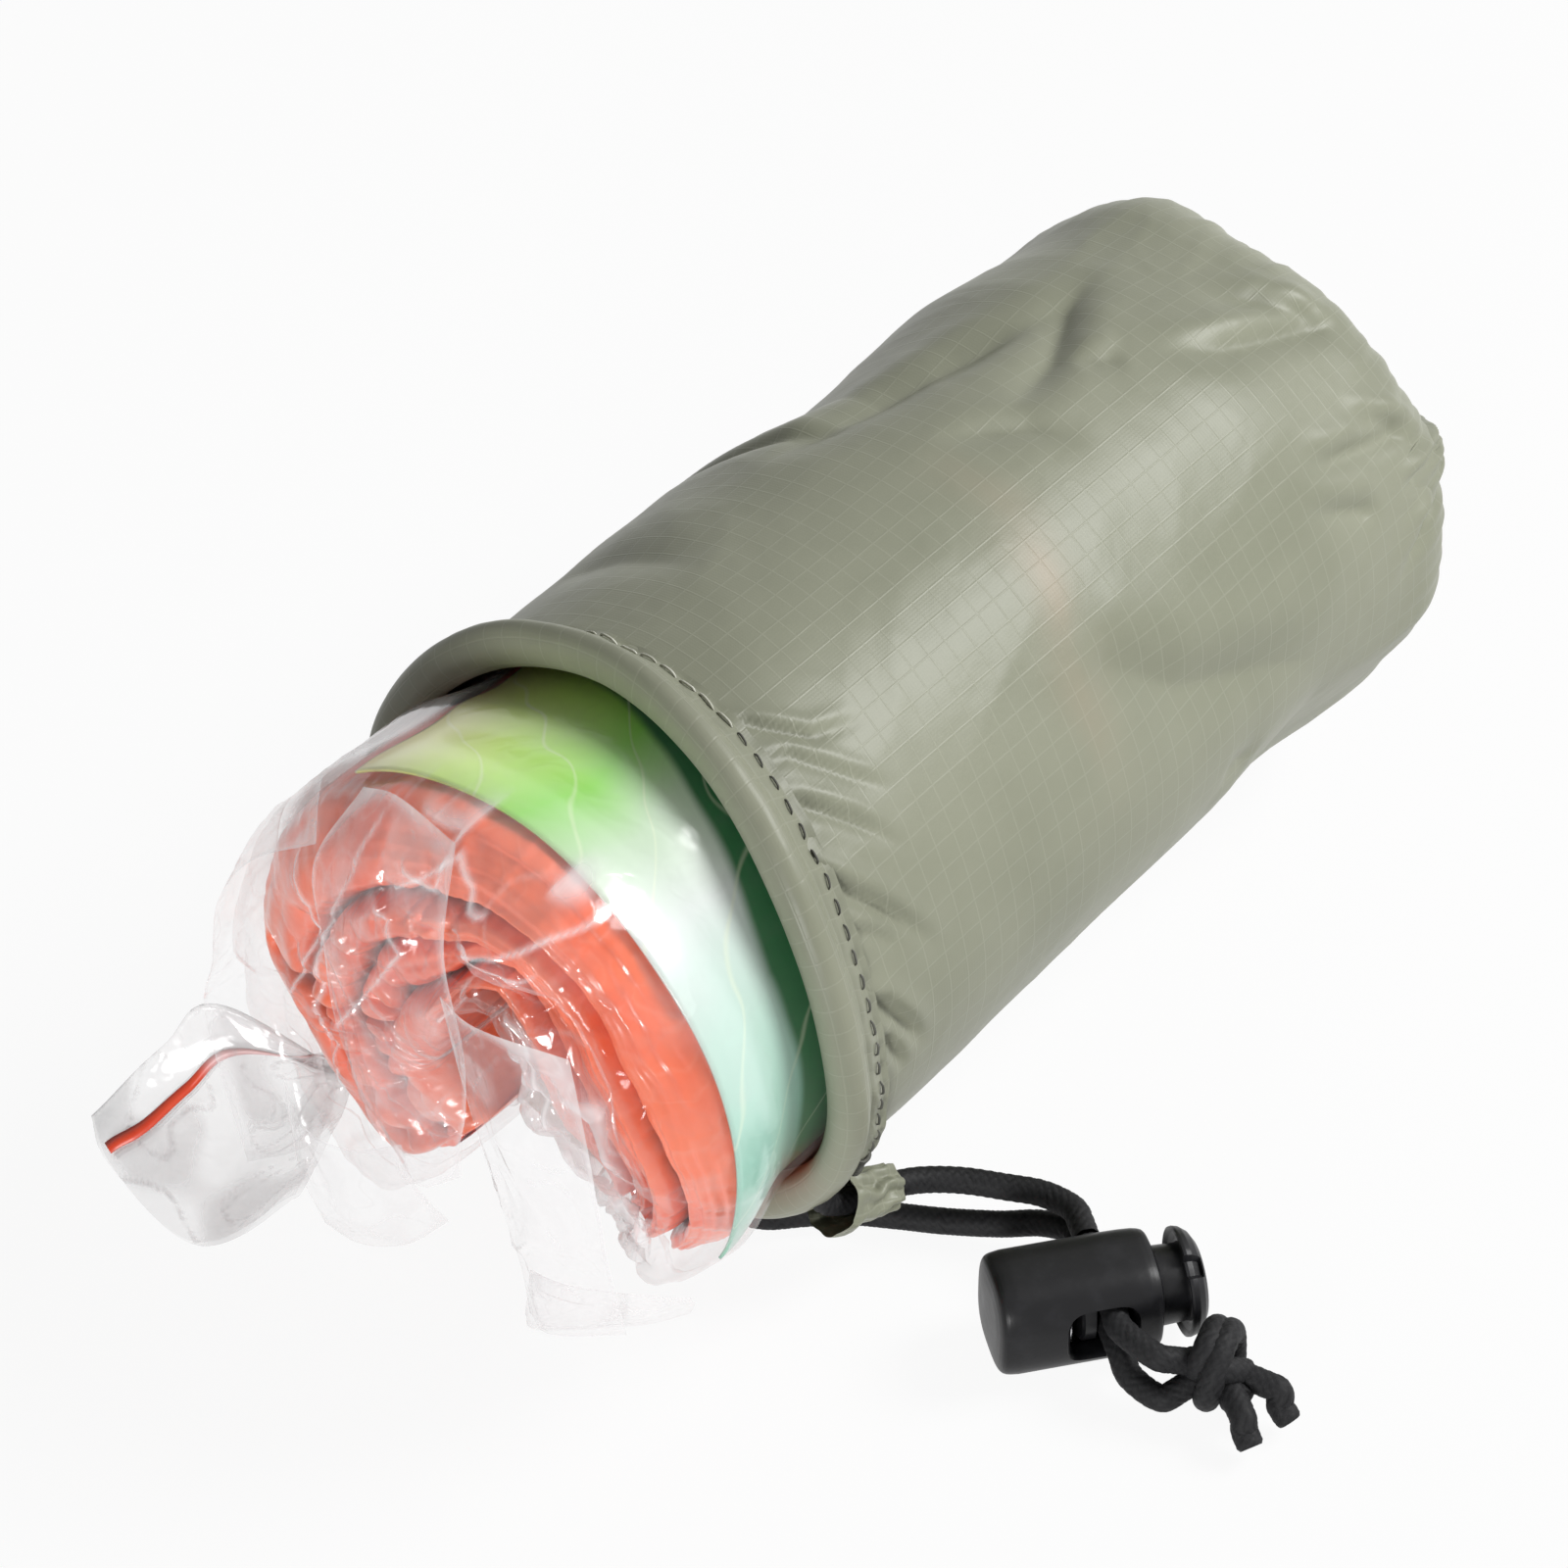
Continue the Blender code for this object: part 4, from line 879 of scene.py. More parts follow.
def holeCutter(at):
    # the cord hole, flared where it comes out of the barrel's sides
    y = np.array([-9, -9, -6.6, -6.05, -5.6, -5.0, 5.0, 5.6, 6.05, 6.6, 9, 9.0])
    half = lockSetup["holeHalf"] + np.array([0, 1.2, 1.2, 0.5, 0.18, 0, 0, 0.18, 0.5, 1.2, 1.2, 0])
    half[[0, -1]] = 0
    ring = superRing(y, half, half, 4.0, 48)
    return np.stack([ring[..., 1] + at, ring[..., 0], ring[..., 2]], -1)


barrel = addPiece(
    "lockBarrel", ringMesh("lockBarrel", barrelRings()), "lock", lockPlastic, ("cordlock_barrel",),
)
applyCuts(barrel, [
    cutWith(barrel, "bore", roundCutter(lockSetup["floor"], 20.5, lockSetup["bore"])),
    cutWith(barrel, "cordHole", holeCutter(lockSetup["holeAt"])),
])


def plungerRings():
    # stem, then a cupped head whose rim turns back towards the barrel, with one notch in the rim
    radius = lockSetup["bore"] - lockSetup["clearance"]
    tip = lockSetup["holeAt"] + lockSetup["offset"] - lockSetup["holeHalf"] - lockSetup["web"]
    x = np.array([tip, tip, tip + 0.3, 19.5, 22.5, 22.85, 22.9, 22.6, 22.3,
                  22.12, 22.2, 22.5, 23.1, 23.9, 24.5, 24.85, 24.95, 24.95])
    r = np.array([0.0, radius - 0.4, radius, radius, radius - 0.15, radius, 5.2, 5.75, 6.0,
                  6.2, 6.4, 6.45, 6.3, 5.7, 4.7, 3.2, 1.6, 0.0])
    x, r = finer(x, 120), finer(r, 120)
    rings = superRing(x, r, r, 2.0, 96)
    turn = np.degrees(np.arctan2(rings[..., 2], rings[..., 1]))
    notch = (
        smooth(1 - (np.abs(turned(turn, 118.0)) - 9) / 5)
        * smooth((np.hypot(rings[..., 1], rings[..., 2]) - 5.1) / 0.5)
    )
    rings[..., 1:] *= (1 - 0.17 * notch)[..., None]
    return rings


plunger = addPiece(
    "lockPlunger", ringMesh("lockPlunger", plungerRings()), "plunger", lockPlastic, ("cordlock_plunger",),
)
applyCuts(plunger, [cutWith(plunger, "plungerHole", holeCutter(lockSetup["holeAt"] + lockSetup["offset"]))])
springSetup = {"wire": 0.8, "curls": 4, "start": 2.1, "end": 9.4}


def springMesh():
    # a helix along the barrel: radius and turns per mm are constant
    t = np.linspace(0, 1, 220)
    reach = lockSetup["bore"] - lockSetup["clearance"] - springSetup["wire"] / 2
    turn = 2 * np.pi * springSetup["curls"] * t
    x = (
        springSetup["start"] + springSetup["wire"] / 2
        + (springSetup["end"] - springSetup["start"] - springSetup["wire"]) * t
    )
    route = np.stack([x, reach * np.cos(turn), reach * np.sin(turn)], 1)
    side, up = tubeFrames(route)
    around = np.linspace(0, 2 * np.pi, 14, endpoint=False)[None, :]
    fat = springSetup["wire"] / 2 * np.clip(t * 60, 0.05, 1) * np.clip((1 - t) * 60, 0.05, 1)
    reach = fat[:, None] * np.ones_like(around)
    points = ringsRound(route, side, up, reach, around)
    return gridMesh("lockSpring", fromLock(points), closedColumns=True)


spring = addPiece("lockSpring", springMesh(), None, springSteel, ("cordlock_spring",))
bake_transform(spring)

for end, legRoute, strandRoute, farEnd, ending in (
    ("Upper", upperLeg, upperStrand, "fitting", [barrel, plunger, spring]),
    ("Lower", lowerLeg, lowerStrand, "knot", [knot]),
):
    leg, strand = cords["Leg" + end], cords["Strand" + end]
    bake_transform(leg)
    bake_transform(strand)
print("cord lock built")


# Stuff sack

# how far the real outline stands out from the plain form, in mm, read along its visible edges
sackDents = {
    "upper": ((-31, 0.2), (-18, 0.5), (-5, 0.8), (8, 0.6), (18, -0.5), (25, -2.2),
              (37, -1.9), (52, -1.0), (60, -1.5), (68, -2.8)),
    "lower": ((-31, -1.4), (-13, -1.3), (3, -1.8), (20, -2.4), (35, -2.5),
              (47, -3.6), (53, -4.2), (62, -3.1), (72, -1.7)),
    "end": ((0, -1), (42, -2.8), (54, -2.3), (71, -1.6), (80, -2.8), (95, -3.9), (111, -2.7), (128, -2.4),
            (137, -1.8), (150, -1.2), (160, -0.8), (180, -0.4), (190, 0.2), (204, -1.8), (230, -1.5),
            (270, 0), (310, -1), (360, -1)),
}


def table(value, pairs):
    places, numbers = zip(*pairs)
    return np.interp(value, places, numbers)


def lineDistance(a, b, line):
    # least distance from (a, b) to the stretches of a line, with its side and the share of the way along
    line = np.array(line, float)
    best = np.full(np.broadcast(a, b).shape, 1e9)
    side = np.zeros_like(best)
    share = np.zeros_like(best)
    for k in range(len(line) - 1):
        (la, lb), (da, db) = line[k], line[k + 1] - line[k]
        t = np.clip(((a - la) * da + (b - lb) * db) / (da * da + db * db), 0, 1)
        far = np.hypot(a - la - t * da, b - lb - t * db)
        nearer = far < best
        best = np.where(nearer, far, best)
        side = np.where(nearer, np.sign((a - la) * db - (b - lb) * da), side)
        share = np.where(nearer, (k + t) / (len(line) - 1), share)
    return best, side, share


def fold(x, angle, points, width, depth, lip=0.0):
    # a valley along a line of (x, ring angle), with a raised lip on one side
    perDegree = np.radians(1.0) * meanRadius
    best, side, share = lineDistance(x, angle * perDegree, [(px, pa * perDegree) for px, pa in points])
    taper = smooth(share / 0.45) * smooth((1 - share) / 0.35)
    valley = -depth * np.exp(-((best / width) ** 1.4))
    raised = lip * bell(best * side - 1.6 * width, 1.2 * width)
    return (valley + raised) * taper


sackFolds = [
    # line of (x, ring angle), width, depth, lip; first the puckers behind the mouth's stitches
    (((-36, 106), (-30, 110), (-25, 119), (-17, 123)), 0.8, 0.9, 0.5),
    (((-37, 115), (-29, 119), (-24.1, 129), (-20, 136)), 0.8, 0.8, 0.45),
    (((-38, 122), (-31.7, 127), (-27.4, 135), (-22, 147)), 0.9, 1.1, 0.6),
    (((-40, 134), (-36, 138), (-30, 150), (-22, 168)), 1.1, 1.3, 0.7),
    (((-38, 147), (-33, 152), (-28, 160)), 0.8, 0.7, 0.4),
    (((-40, 160), (-34.1, 166), (-26.5, 184)), 1.1, 1.2, 0.6),
    (((-40, 169), (-34, 174), (-30, 186)), 0.9, 0.9, 0.4),
    # broad valleys and one sharp crease across the top
    (((4, 66), (15.1, 68), (26.9, 71), (41.9, 79), (58, 86)), 3.2, 2.0, 0.5),
    (((60, 80), (50.2, 84), (40.6, 92), (26, 97)), 2.8, 1.8, 0.4),
    (((18, 90), (23.9, 95), (29, 101), (34, 112)), 2.2, 1.1, 0.2),
    (((3.0, 34), (7.7, 39), (13, 58), (18, 76)), 1.6, 1.1, 0.3),
    (((-17.5, 39), (-14.7, 58), (-14.4, 81)), 4.0, 0.9, 0.2),
    # folds that run into the closed end
    (((48.3, 104), (58.2, 113), (73, 121), (80, 124)), 2.2, 1.5, 0.8),
    (((62.8, 99), (71.3, 114), (76, 121)), 2.0, 1.1, 0.6),
    (((41.2, 96), (47, 103)), 1.8, 0.8, 0.4),
    # the drawn-in lower edge, and the pleats round the right corner
    (((12, 140), (14.9, 144), (24.7, 158), (39.2, 168), (59.5, 184)), 4.2, 2.0, 0.9),
    (((39.9, 188), (30.9, 185)), 2.5, 0.8, 0.3),
    (((55, 140), (61, 143), (73.3, 148), (80, 156)), 1.6, 1.5, 0.9),
    (((51.2, 146), (61.1, 154), (66, 158)), 1.8, 1.3, 0.6),
    (((70, 158), (76.8, 160), (82, 160)), 1.4, 1.6, 0.8),
    (((66, 139), (70.1, 142), (79, 151)), 1.4, 1.2, 0.6),
    (((66, 176), (75, 168), (82, 161)), 1.4, 1.4, 0.7),
]


sackWall = sackSetup["endX"] - sackSetup["endRound"] - sackSetup["mouthX"]  # its straight part


def sackRing(turn, inset):
    # Y and Z on the sack's section, inset from its side
    setup = sackSetup
    y = setup["axisY"] + (setup["halfWidth"] - inset) * np.cos(turn)
    return y, setup["axisZ"] + (setup["halfHeight"] - inset) * np.sin(turn)


def sackSurface(s, angle):
    # s runs from the stitch line along the wall, round the shoulder and in to the middle of the end
    setup = sackSetup
    wall, arc = sackWall, setup["endRound"] * np.pi / 2
    face = setup["halfWidth"] - setup["endRound"]
    turn = np.radians(angle)
    up = np.clip((s - wall) / setup["endRound"], 0, np.pi / 2)
    inward = np.clip((s - wall - arc) / face, 0, 1)
    inset = setup["endRound"] * (1 - np.cos(up)) + face * inward
    straight = np.clip(s / wall, -0.1, 1)
    x = setup["mouthX"] + straight * wall + mouthShift(angle) * (1 - straight) ** 3
    x = x + setup["endRound"] * np.sin(up) + setup["endBulge"] * (1 - (1 - inward) ** 2)
    y, z = sackRing(turn, inset)
    normal = pointsOf(np.sin(up), np.cos(up) * np.cos(turn), np.cos(up) * np.sin(turn))
    return pointsOf(x, y, z), normal, inward


def sackRelief(s, x, angle, inward):
    # outline dents, then folds drawn one by one, then noise from broad sags down to small crumples
    atEnd = smooth((s - sackWall + 22) / 26)
    dents = table(x, sackDents["upper"]) * bell(turned(angle, 40), 34)
    dents = dents + table(x, sackDents["lower"]) * bell(turned(angle, 212), 26)
    relief = dents * (1 - atEnd) + table(angle % 360, sackDents["end"]) * atEnd * (1 - smooth(inward * 1.3))
    for line, width, depth, lip in sackFolds:
        relief = relief + fold(x, angle, line, width, depth, lip)
    nearMouth = bell(s, 10)
    mid = smooth((s - 4) / 18)
    relief = relief + 0.5 * mid * noise(s / 36, angle / 45, 3, 8)
    relief = relief + 0.13 * mid * creased(s / 24 + angle / 70, angle / 360 * 13, 11, 13)
    relief = relief + 0.05 * creased(s / 9, angle / 360 * 27, 21, 27)
    gathered = 0.35 + 0.65 * noise(s / 30, angle / 18, 5, 20)
    relief = relief + 0.30 * nearMouth * gathered * noise(s / 14 + 3, angle / 360 * 47, 31, 47)
    pleats = creased(s / 40, angle / 360 * 34, 41, 34)
    relief = relief + 0.35 * smooth((s - sackWall + 10) / 22) * pleats * (1 - 0.7 * smooth(inward))
    corner = bell(turned(angle, seamRight), 14) + bell(turned(angle, seamLeft), 14)
    waves = np.cos(np.radians(turned(angle, seamRight)) * meanRadius * 2.1)
    relief = relief + 0.4 * corner * smooth((s - sackWall + 6) / 12) * (1 - inward) * waves
    atSeam = np.abs(np.cos(np.radians(angle - seamLeft))) ** 4
    return relief - 3.5 * smooth(inward * 1.2) * (0.3 + 0.7 * atSeam * (1 - inward))


def sackGrid(rows, columns, lift, start=-1.2):
    whole = sackWall + sackSetup["endRound"] * np.pi / 2 + sackSetup["halfWidth"] - sackSetup["endRound"]
    s = np.linspace(start, whole, rows)
    angle = np.linspace(0, 360, columns, endpoint=False)
    base, normal, inward = sackSurface(s[:, None], angle[None, :])
    relief = sackRelief(s[:, None], base[..., 0], angle[None, :], inward)
    low = smooth((base[..., 2] - 1.5) / 9)
    points = base + normal * ((relief * (0.15 + 0.85 * low) + lift)[..., None])
    points[..., 2] = np.maximum(points[..., 2], 0.05 - lift)
    points[-1] = points[-1].mean(0)
    uv = uvGrid(np.append(s, s[-1] + 1), np.append(angle, 360.0) / 360 * sackSetup["girth"])
    return points, uv, angle, base


points, uv, angle, base = sackGrid(sackSetup["rows"], sackSetup["columns"], 0.0)
# painted glow of the orange packet through the cloth, in a band across the top and the right side
paintedGlowMask = -fold(
    base[..., 0], np.broadcast_to(angle[None, :], base.shape[:2]),
    ((18, 84), (17.5, 104), (15, 124), (9, 148), (8, 176)), 3.2, 1.0
)
paintedGlowMask = np.clip(paintedGlowMask * (0.6 + 0.8 * noise(base[..., 0] / 9, angle[None, :] / 14, 77)), 0, 1)
gridPiece(
    "sackShell", "sack", ripstop, "sack_body", "ripstop", points, uv, closedColumns=True, flip=True, merge=True,
    attributes={"paintedGlow": paintedGlowMask}
)
points, uv = sackGrid(120, 150, -1.0, 0.5)[:2]
gridPiece("sackLining", "sack", lining, None, "ripstop", points, uv, closedColumns=True, merge=True)
print("sack shell made")


def hemPuckers(angle, along):
    # the stitches draw the cloth in: short pleats square to the rim, strongest at the stitch line
    near = bell(along - 0.8, 2.6)
    fine = noise(along / 16, angle / 360 * 58, 51, 58)
    wide = noise(along / 12, angle / 360 * 19, 52, 19)
    return (
        near * (0.55 * fine - 0.18) + 0.22 * wide * smooth(along / 4)
        + 0.04 * creased(along / 5, angle / 360 * 40, 53, 40)
    )


def hemSurface(columns, rows):
    setup = hemSetup
    nose, width = setup["halfThickness"], setup["width"]
    outerAlong = np.linspace(-0.9, width - nose, rows)
    turn = np.radians(np.linspace(80, -80, 17))
    noseAlong = width - nose + nose * np.cos(turn)
    innerAlong = np.linspace(width - nose, -0.2, rows // 2)
    along = np.concatenate([outerAlong, noseAlong, innerAlong])
    out = np.concatenate([hemOuter(outerAlong), nose * np.sin(turn), -hemHalfThickness(innerAlong)])
    side = np.concatenate([np.ones(rows), np.sin(turn), -np.ones(rows // 2)])
    angle = np.linspace(0, 360, columns, endpoint=False)
    puckers = hemPuckers(angle[:, None], along[None, :])
    low = smooth((hemPoint(angle[:, None], along[None, :], 0.0)[..., 2] - 2.6) / 8)
    # the rim is a little fuller where the casing is narrow, so that it covers the cord
    full = 0.5 * bell(turned(angle, 72), 48)[:, None] * (smooth((along - 3) / 1.8) * side)[None, :]
    reach = out[None, :] + full + puckers * np.maximum(side, 0.25)[None, :] * (0.2 + 0.8 * low)
    points = hemPoint(angle[:, None], along[None, :], reach)
    points[..., 0] += 0.35 * noise(angle[:, None] / 24, along[None, :] / 30, 54) * smooth(along / 6)[None, :]
    points[..., 2] = np.maximum(points[..., 2], 0.05)
    path = np.concatenate([[0], np.cumsum(np.hypot(np.diff(along), np.diff(out)))])
    path = np.append(path, path[-1]) + setup["weaveStart"]
    return points, uvGrid(np.append(angle, 360.0) / 360 * setup["girth"], path)


points, uv = hemSurface(480, 26)
gridPiece("hemCasing", "sack", ripstop, "hem_casing", "ripstop", points, uv, closedRows=True)


def stitchMesh(name, angles, along, length, lean, thread):
    # each stitch is a short arch of thread whose ends dip into the cloth
    steps, sides = 9, 6
    t = np.linspace(-1, 1, steps)[None, :, None]
    turn = np.linspace(0, 2 * np.pi, sides, endpoint=False)[None, None, :]
    angles = angles[:, None, None]
    half = length / 2 / meanRadius * 180 / np.pi
    arch = 0.42 * (1 - t**4) - 0.06
    fat = thread / 2 * (1 - 0.35 * t**4)
    place = along + lean * t
    lift = hemOuter(place) + hemPuckers(angles + half * t, place) + arch
    points = hemPoint(angles + half * t + 0 * turn, place + fat * np.sin(turn), lift + fat * np.cos(turn))
    corner = np.arange(points.size // 3).reshape(-1, steps, sides)
    around = np.roll(corner, -1, 2)
    quads = np.stack([corner[:, :-1], around[:, :-1], around[:, 1:], corner[:, 1:]], -1).reshape(-1, 4)
    mesh = bpy.data.meshes.new(name)
    mesh.from_pydata(toWorld(points.reshape(-1, 3)).tolist(), [], quads.tolist())
    mesh.update()
    mesh.shade_smooth()
    return mesh


stitchSetup = {
    "from": 300.0, "shade": 468.0, "to": 563.0, "pitch": 3.0, "length": 2.7, "thread": 0.46, "along": 0.85
}
stitchAngles = np.arange(
    stitchSetup["from"], stitchSetup["to"], stitchSetup["pitch"] / meanRadius * 180 / np.pi
)
# past the shade angle, round the lower right, the stitches are drawn in the darker copy of the thread: painted
# shade
bright = stitchAngles[stitchAngles < stitchSetup["shade"]]
shadedAngles = stitchAngles[stitchAngles >= stitchSetup["shade"]]
brightRow = stitchMesh(
    "hemStitches", bright, stitchSetup["along"], stitchSetup["length"], 0.10, stitchSetup["thread"]
)
shadedRow = stitchMesh("hemStitchesShaded", shadedAngles, stitchSetup["along"], 1.9, 0.16, 0.34)
addPiece("hemStitches", brightRow, "sack", threadLight, ("hem_stitching",))
addPiece("hemStitchesShaded", shadedRow, "sack", threadShaded)
# the bar tack also takes the darker copy of the thread: painted shade
tackAngles = np.linspace(204.0, 210.5, 9)
tack = stitchMesh("hemTack", tackAngles, 1.7, 0.9, 1.5, 0.5)
addPiece("hemTack", tack, "sack", threadShaded, ("hem_bartack",))
print("hem and stitches made")


def endPoint(inset, angle, aside, out):
    # a point over the closed end: inset from the sack's side, aside along the end's plane
    setup = sackSetup
    inset, angle, aside, out = together(inset, angle, aside, out)
    turn = np.radians(angle)
    up = np.arccos(np.clip(1 - inset / setup["endRound"], 0, 1))
    share = np.clip((setup["halfWidth"] - inset) / (setup["halfWidth"] - setup["endRound"]), 0, 1)
    x = setup["endX"] - setup["endRound"] + setup["endRound"] * np.sin(up)
    x = np.where(inset > setup["endRound"], setup["endX"] + setup["endBulge"] * (1 - share**2), x)
    up = np.where(inset > setup["endRound"], np.pi / 2, up)
    y, z = sackRing(turn, inset)
    point = np.stack(
        [x + np.sin(up) * out, y + np.cos(up) * np.cos(turn) * out, z + np.cos(up) * np.sin(turn) * out], -1
    )
    return point + np.stack([0 * turn, -np.sin(turn), np.cos(turn)], -1) * aside[..., None]


def bottomSeam():
    # the seam across the end is a rolled welt, drawn in a little by its stitches
    along = np.linspace(-24, 24, 160)[:, None]
    aside = np.linspace(-1, 1, 21)[None, :] * (2.6 + 0.25 * noise(along / 3, 0.5, 61))
    angle = np.where(along >= 0, seamLeft, seamRight)
    side = np.where(along >= 0, 1.0, -1.0)
    crest = 0.9 * np.clip(np.cos(aside / 3.0 * np.pi / 2), 0, 1) ** 0.7
    pull = 0.18 * np.cos(along * 2.1) * bell(aside, 1.1)
    sink = table(np.abs(along), ((0, -1.2), (10, -2.0), (21, -2.4), (24, -1.0)))
    out = 0.4 + crest + pull + sink + 0.3 * noise(along / 7, aside / 3, 62)
    return endPoint(sackSetup["halfWidth"] - np.abs(along), angle, side * aside, out)


points = bottomSeam()
seam = gridPiece("endSeam", "sack", ripstop, "bottom_seam", "ripstop", points, evenUv(points, 0.3, 0.27))
thicken(seam, 0.5)


def tuckSurface(angle, seed):
    # three pleats fan out over the rounded end from the corner
    t = np.linspace(0, 1, 90)[:, None]
    across = np.linspace(-1, 1, 90)[None, :]
    inset = np.maximum(sackSetup["endRound"] * (1 - t) - pieceGap, 0)
    pleat = 0.55 * (1 + np.cos(3 * np.pi * across + 0.8 * noise(t * 2, across, seed)))
    fine = 0.35 * creased(t * 3, across * 3 + 5, seed + 1)
    edge = smooth((1 - np.abs(across)) / 0.5) * smooth((1 - t) / 0.3) * (0.3 + 0.7 * smooth(t / 0.25))
    out = -0.7 + (1.5 * pleat * (1 - 0.5 * t) + fine + 1.0) * edge + table(angle % 360, sackDents["end"]) * 0.8
    spread = 0.30 + 0.70 * t
    return endPoint(inset, angle + 0 * t, across * spread * 4.5, out)


for name, node, where, seed in (
    ("cornerTuckRight", "corner_tuck_right", seamRight, 71),
    ("cornerTuckLeft", "corner_tuck_left", seamLeft, 73),
):
    points = tuckSurface(where, seed)
    tuck = gridPiece(name, "sack", ripstop, node, "ripstop", points, evenUv(points, 0.2, 0.1), flip=True)
    thicken(tuck, 0.45)


def sideSeam():
    # the long seam's allowance lies flat inside the wall
    x = np.linspace(-29, 70, 200)[:, None]
    turn = seamLeft + np.linspace(-1, 1, 15)[None, :] * 4.1
    depth = 1.5 + 0.18 * noise(x / 5, turn / 3, 64)
    y, z = sackRing(np.radians(turn), depth)
    return pointsOf(x, y, z)


points = sideSeam()
inner = gridPiece("sideSeam", "sack", lining, "side_seam", "ripstop", points, evenUv(points, 0.5, 0.35))
thicken(inner, 0.6)


def outletSurface():
    # the end of the tunnel, drawn round the cord in small pleats
    route = evenRoute(upperLeg, 0.2)
    done = np.arange(len(route)) * routeLength(route) / (len(route) - 1)
    route = route[(done > 6.5) & (done < 17.0)]
    side, up = tubeFrames(route)
    t = np.linspace(0, 1, len(route))[:, None]
    around = np.linspace(0, 2 * np.pi, 90, endpoint=False)[None, :]
    reach = 2.75 + 1.1 * (1 - smooth(t / 0.55)) - 0.35 * smooth((t - 0.75) / 0.25)
    reach = reach + 0.38 * np.cos(7 * around + 2.5 * noise(t * 3, around / 2, 81)) * (0.4 + 0.6 * smooth(t * 3))
    reach = reach + 0.25 * noise(t * 6, around * 2, 82)
    lip = np.clip((t - 0.96) / 0.04, 0, 1)
    return ringsRound(route, side, up, reach * (1 - lip) + 1.75 * lip, around)


points = outletSurface()
uv = evenUv(points, 0.2, 0.2)
gridPiece("cordOutlet", "sack", ripstop, "cord_outlet", "ripstop", points, uv, closedColumns=True)
print("seams, tucks and outlet made")


# Packet: places are given by ring angle and by share of the way from its outer wall to its inner one

packetSetup = {
    "radius": 32.9,
    "swell": 2.7,
    "swellFrom": -44.0,
    "swellTo": -57.0,
    "axisY": 0.5,
    "axisZ": 38.4,
    "front": -68.4,
    "back": 78.0,
    "legEnds": (-52.0, 230.0),
    "recess": 4.0,
    "recessAngles": (-4.0, -24.0),
    # ring angle, and the inner wall's radius there as a share of the outer one
    "inner": ((-64, 0.08), (60, 0.08), (75, 0.12), (90, 0.24), (100, 0.4), (112, 0.5), (130, 0.43),
              (150, 0.35),
              (180, 0.36), (195, 0.43), (205, 0.5), (215, 0.57), (232, 0.59)),
    "legShift": 7.7,
    "legShiftAngles": (-15.0, -52.0),
    "setBack": 7.5,
    "footAngles": (165.0, 230.0),
    "taper": 4.5,
    "taperFrom": 50.0,
    "taperAngles": (10.0, 40.0),
    "dome": 9.0,
    "bulge": 2.4,
}


def packetRadius(x, angle):
    setup = packetSetup
    swell = smooth((setup["swellFrom"] - x) / (setup["swellFrom"] - setup["swellTo"]))
    turn = turned(angle, 0.0)
    start, end = setup["recessAngles"]
    recess = np.where(turn > -130, smooth((start - turn) / (start - end)), 0.0)
    start, end = setup["taperAngles"]
    taper = smooth((x - setup["taperFrom"]) / (setup["back"] - setup["taperFrom"]))
    taper = taper * np.where(turn > -130, smooth((turn - start) / (end - start)), 1.0)
    bulge = setup["bulge"] * smooth((-34.5 - x) / 8) * (1 - swell) * bell(turn - 34, 26)
    return setup["radius"] + setup["swell"] * swell + bulge - setup["recess"] * recess - setup["taper"] * taper


def packetPlace(x, angle, share, lift=0.0, along=0.0):
    setup = packetSetup
    outer = packetRadius(x, angle)
    inner = setup["radius"] * table(angle, setup["inner"])
    reach = outer + (inner - outer) * share + lift
    start, end = setup["legShiftAngles"]
    along = along - setup["legShift"] * smooth((start - angle) / (start - end))
    turn = np.radians(angle)
    y = setup["axisY"] + reach * np.cos(turn) - along * np.sin(turn)
    z = setup["axisZ"] + reach * np.sin(turn) + along * np.cos(turn)
    return pointsOf(x + 0 * turn, y, z)


def openShare(x):
    # 0 where the sack holds the packet, 1 where it stands free in front of the mouth
    return smooth((-43.0 - x) / 14.0)


def frontOf(angle, share):
    # domed towards the outer wall, set back at the right leg's foot, and rounded off at both leg ends
    setup = packetSetup
    low, high = setup["legEnds"]
    start, end = setup["footAngles"]
    base = setup["front"] + setup["setBack"] * smooth((angle - start) / (end - start))
    base = base + 1.5 * smooth((-10 - angle) / 40) + 1.2 * smooth((angle - 100) / 40)
    outer = setup["dome"] * (1 - np.sqrt(1 - np.clip(1 - share / 0.33, 0, 1) ** 2))
    inner = 3.5 * (1 - np.sqrt(1 - np.clip((share - 0.84) / 0.16, 0, 1) ** 2))
    ends = np.clip(np.maximum((angle - high + 9) / 9, (low + 9 - angle) / 9), 0, 1)
    return base + outer + inner + 4.0 * (1 - np.sqrt(1 - ends**2))


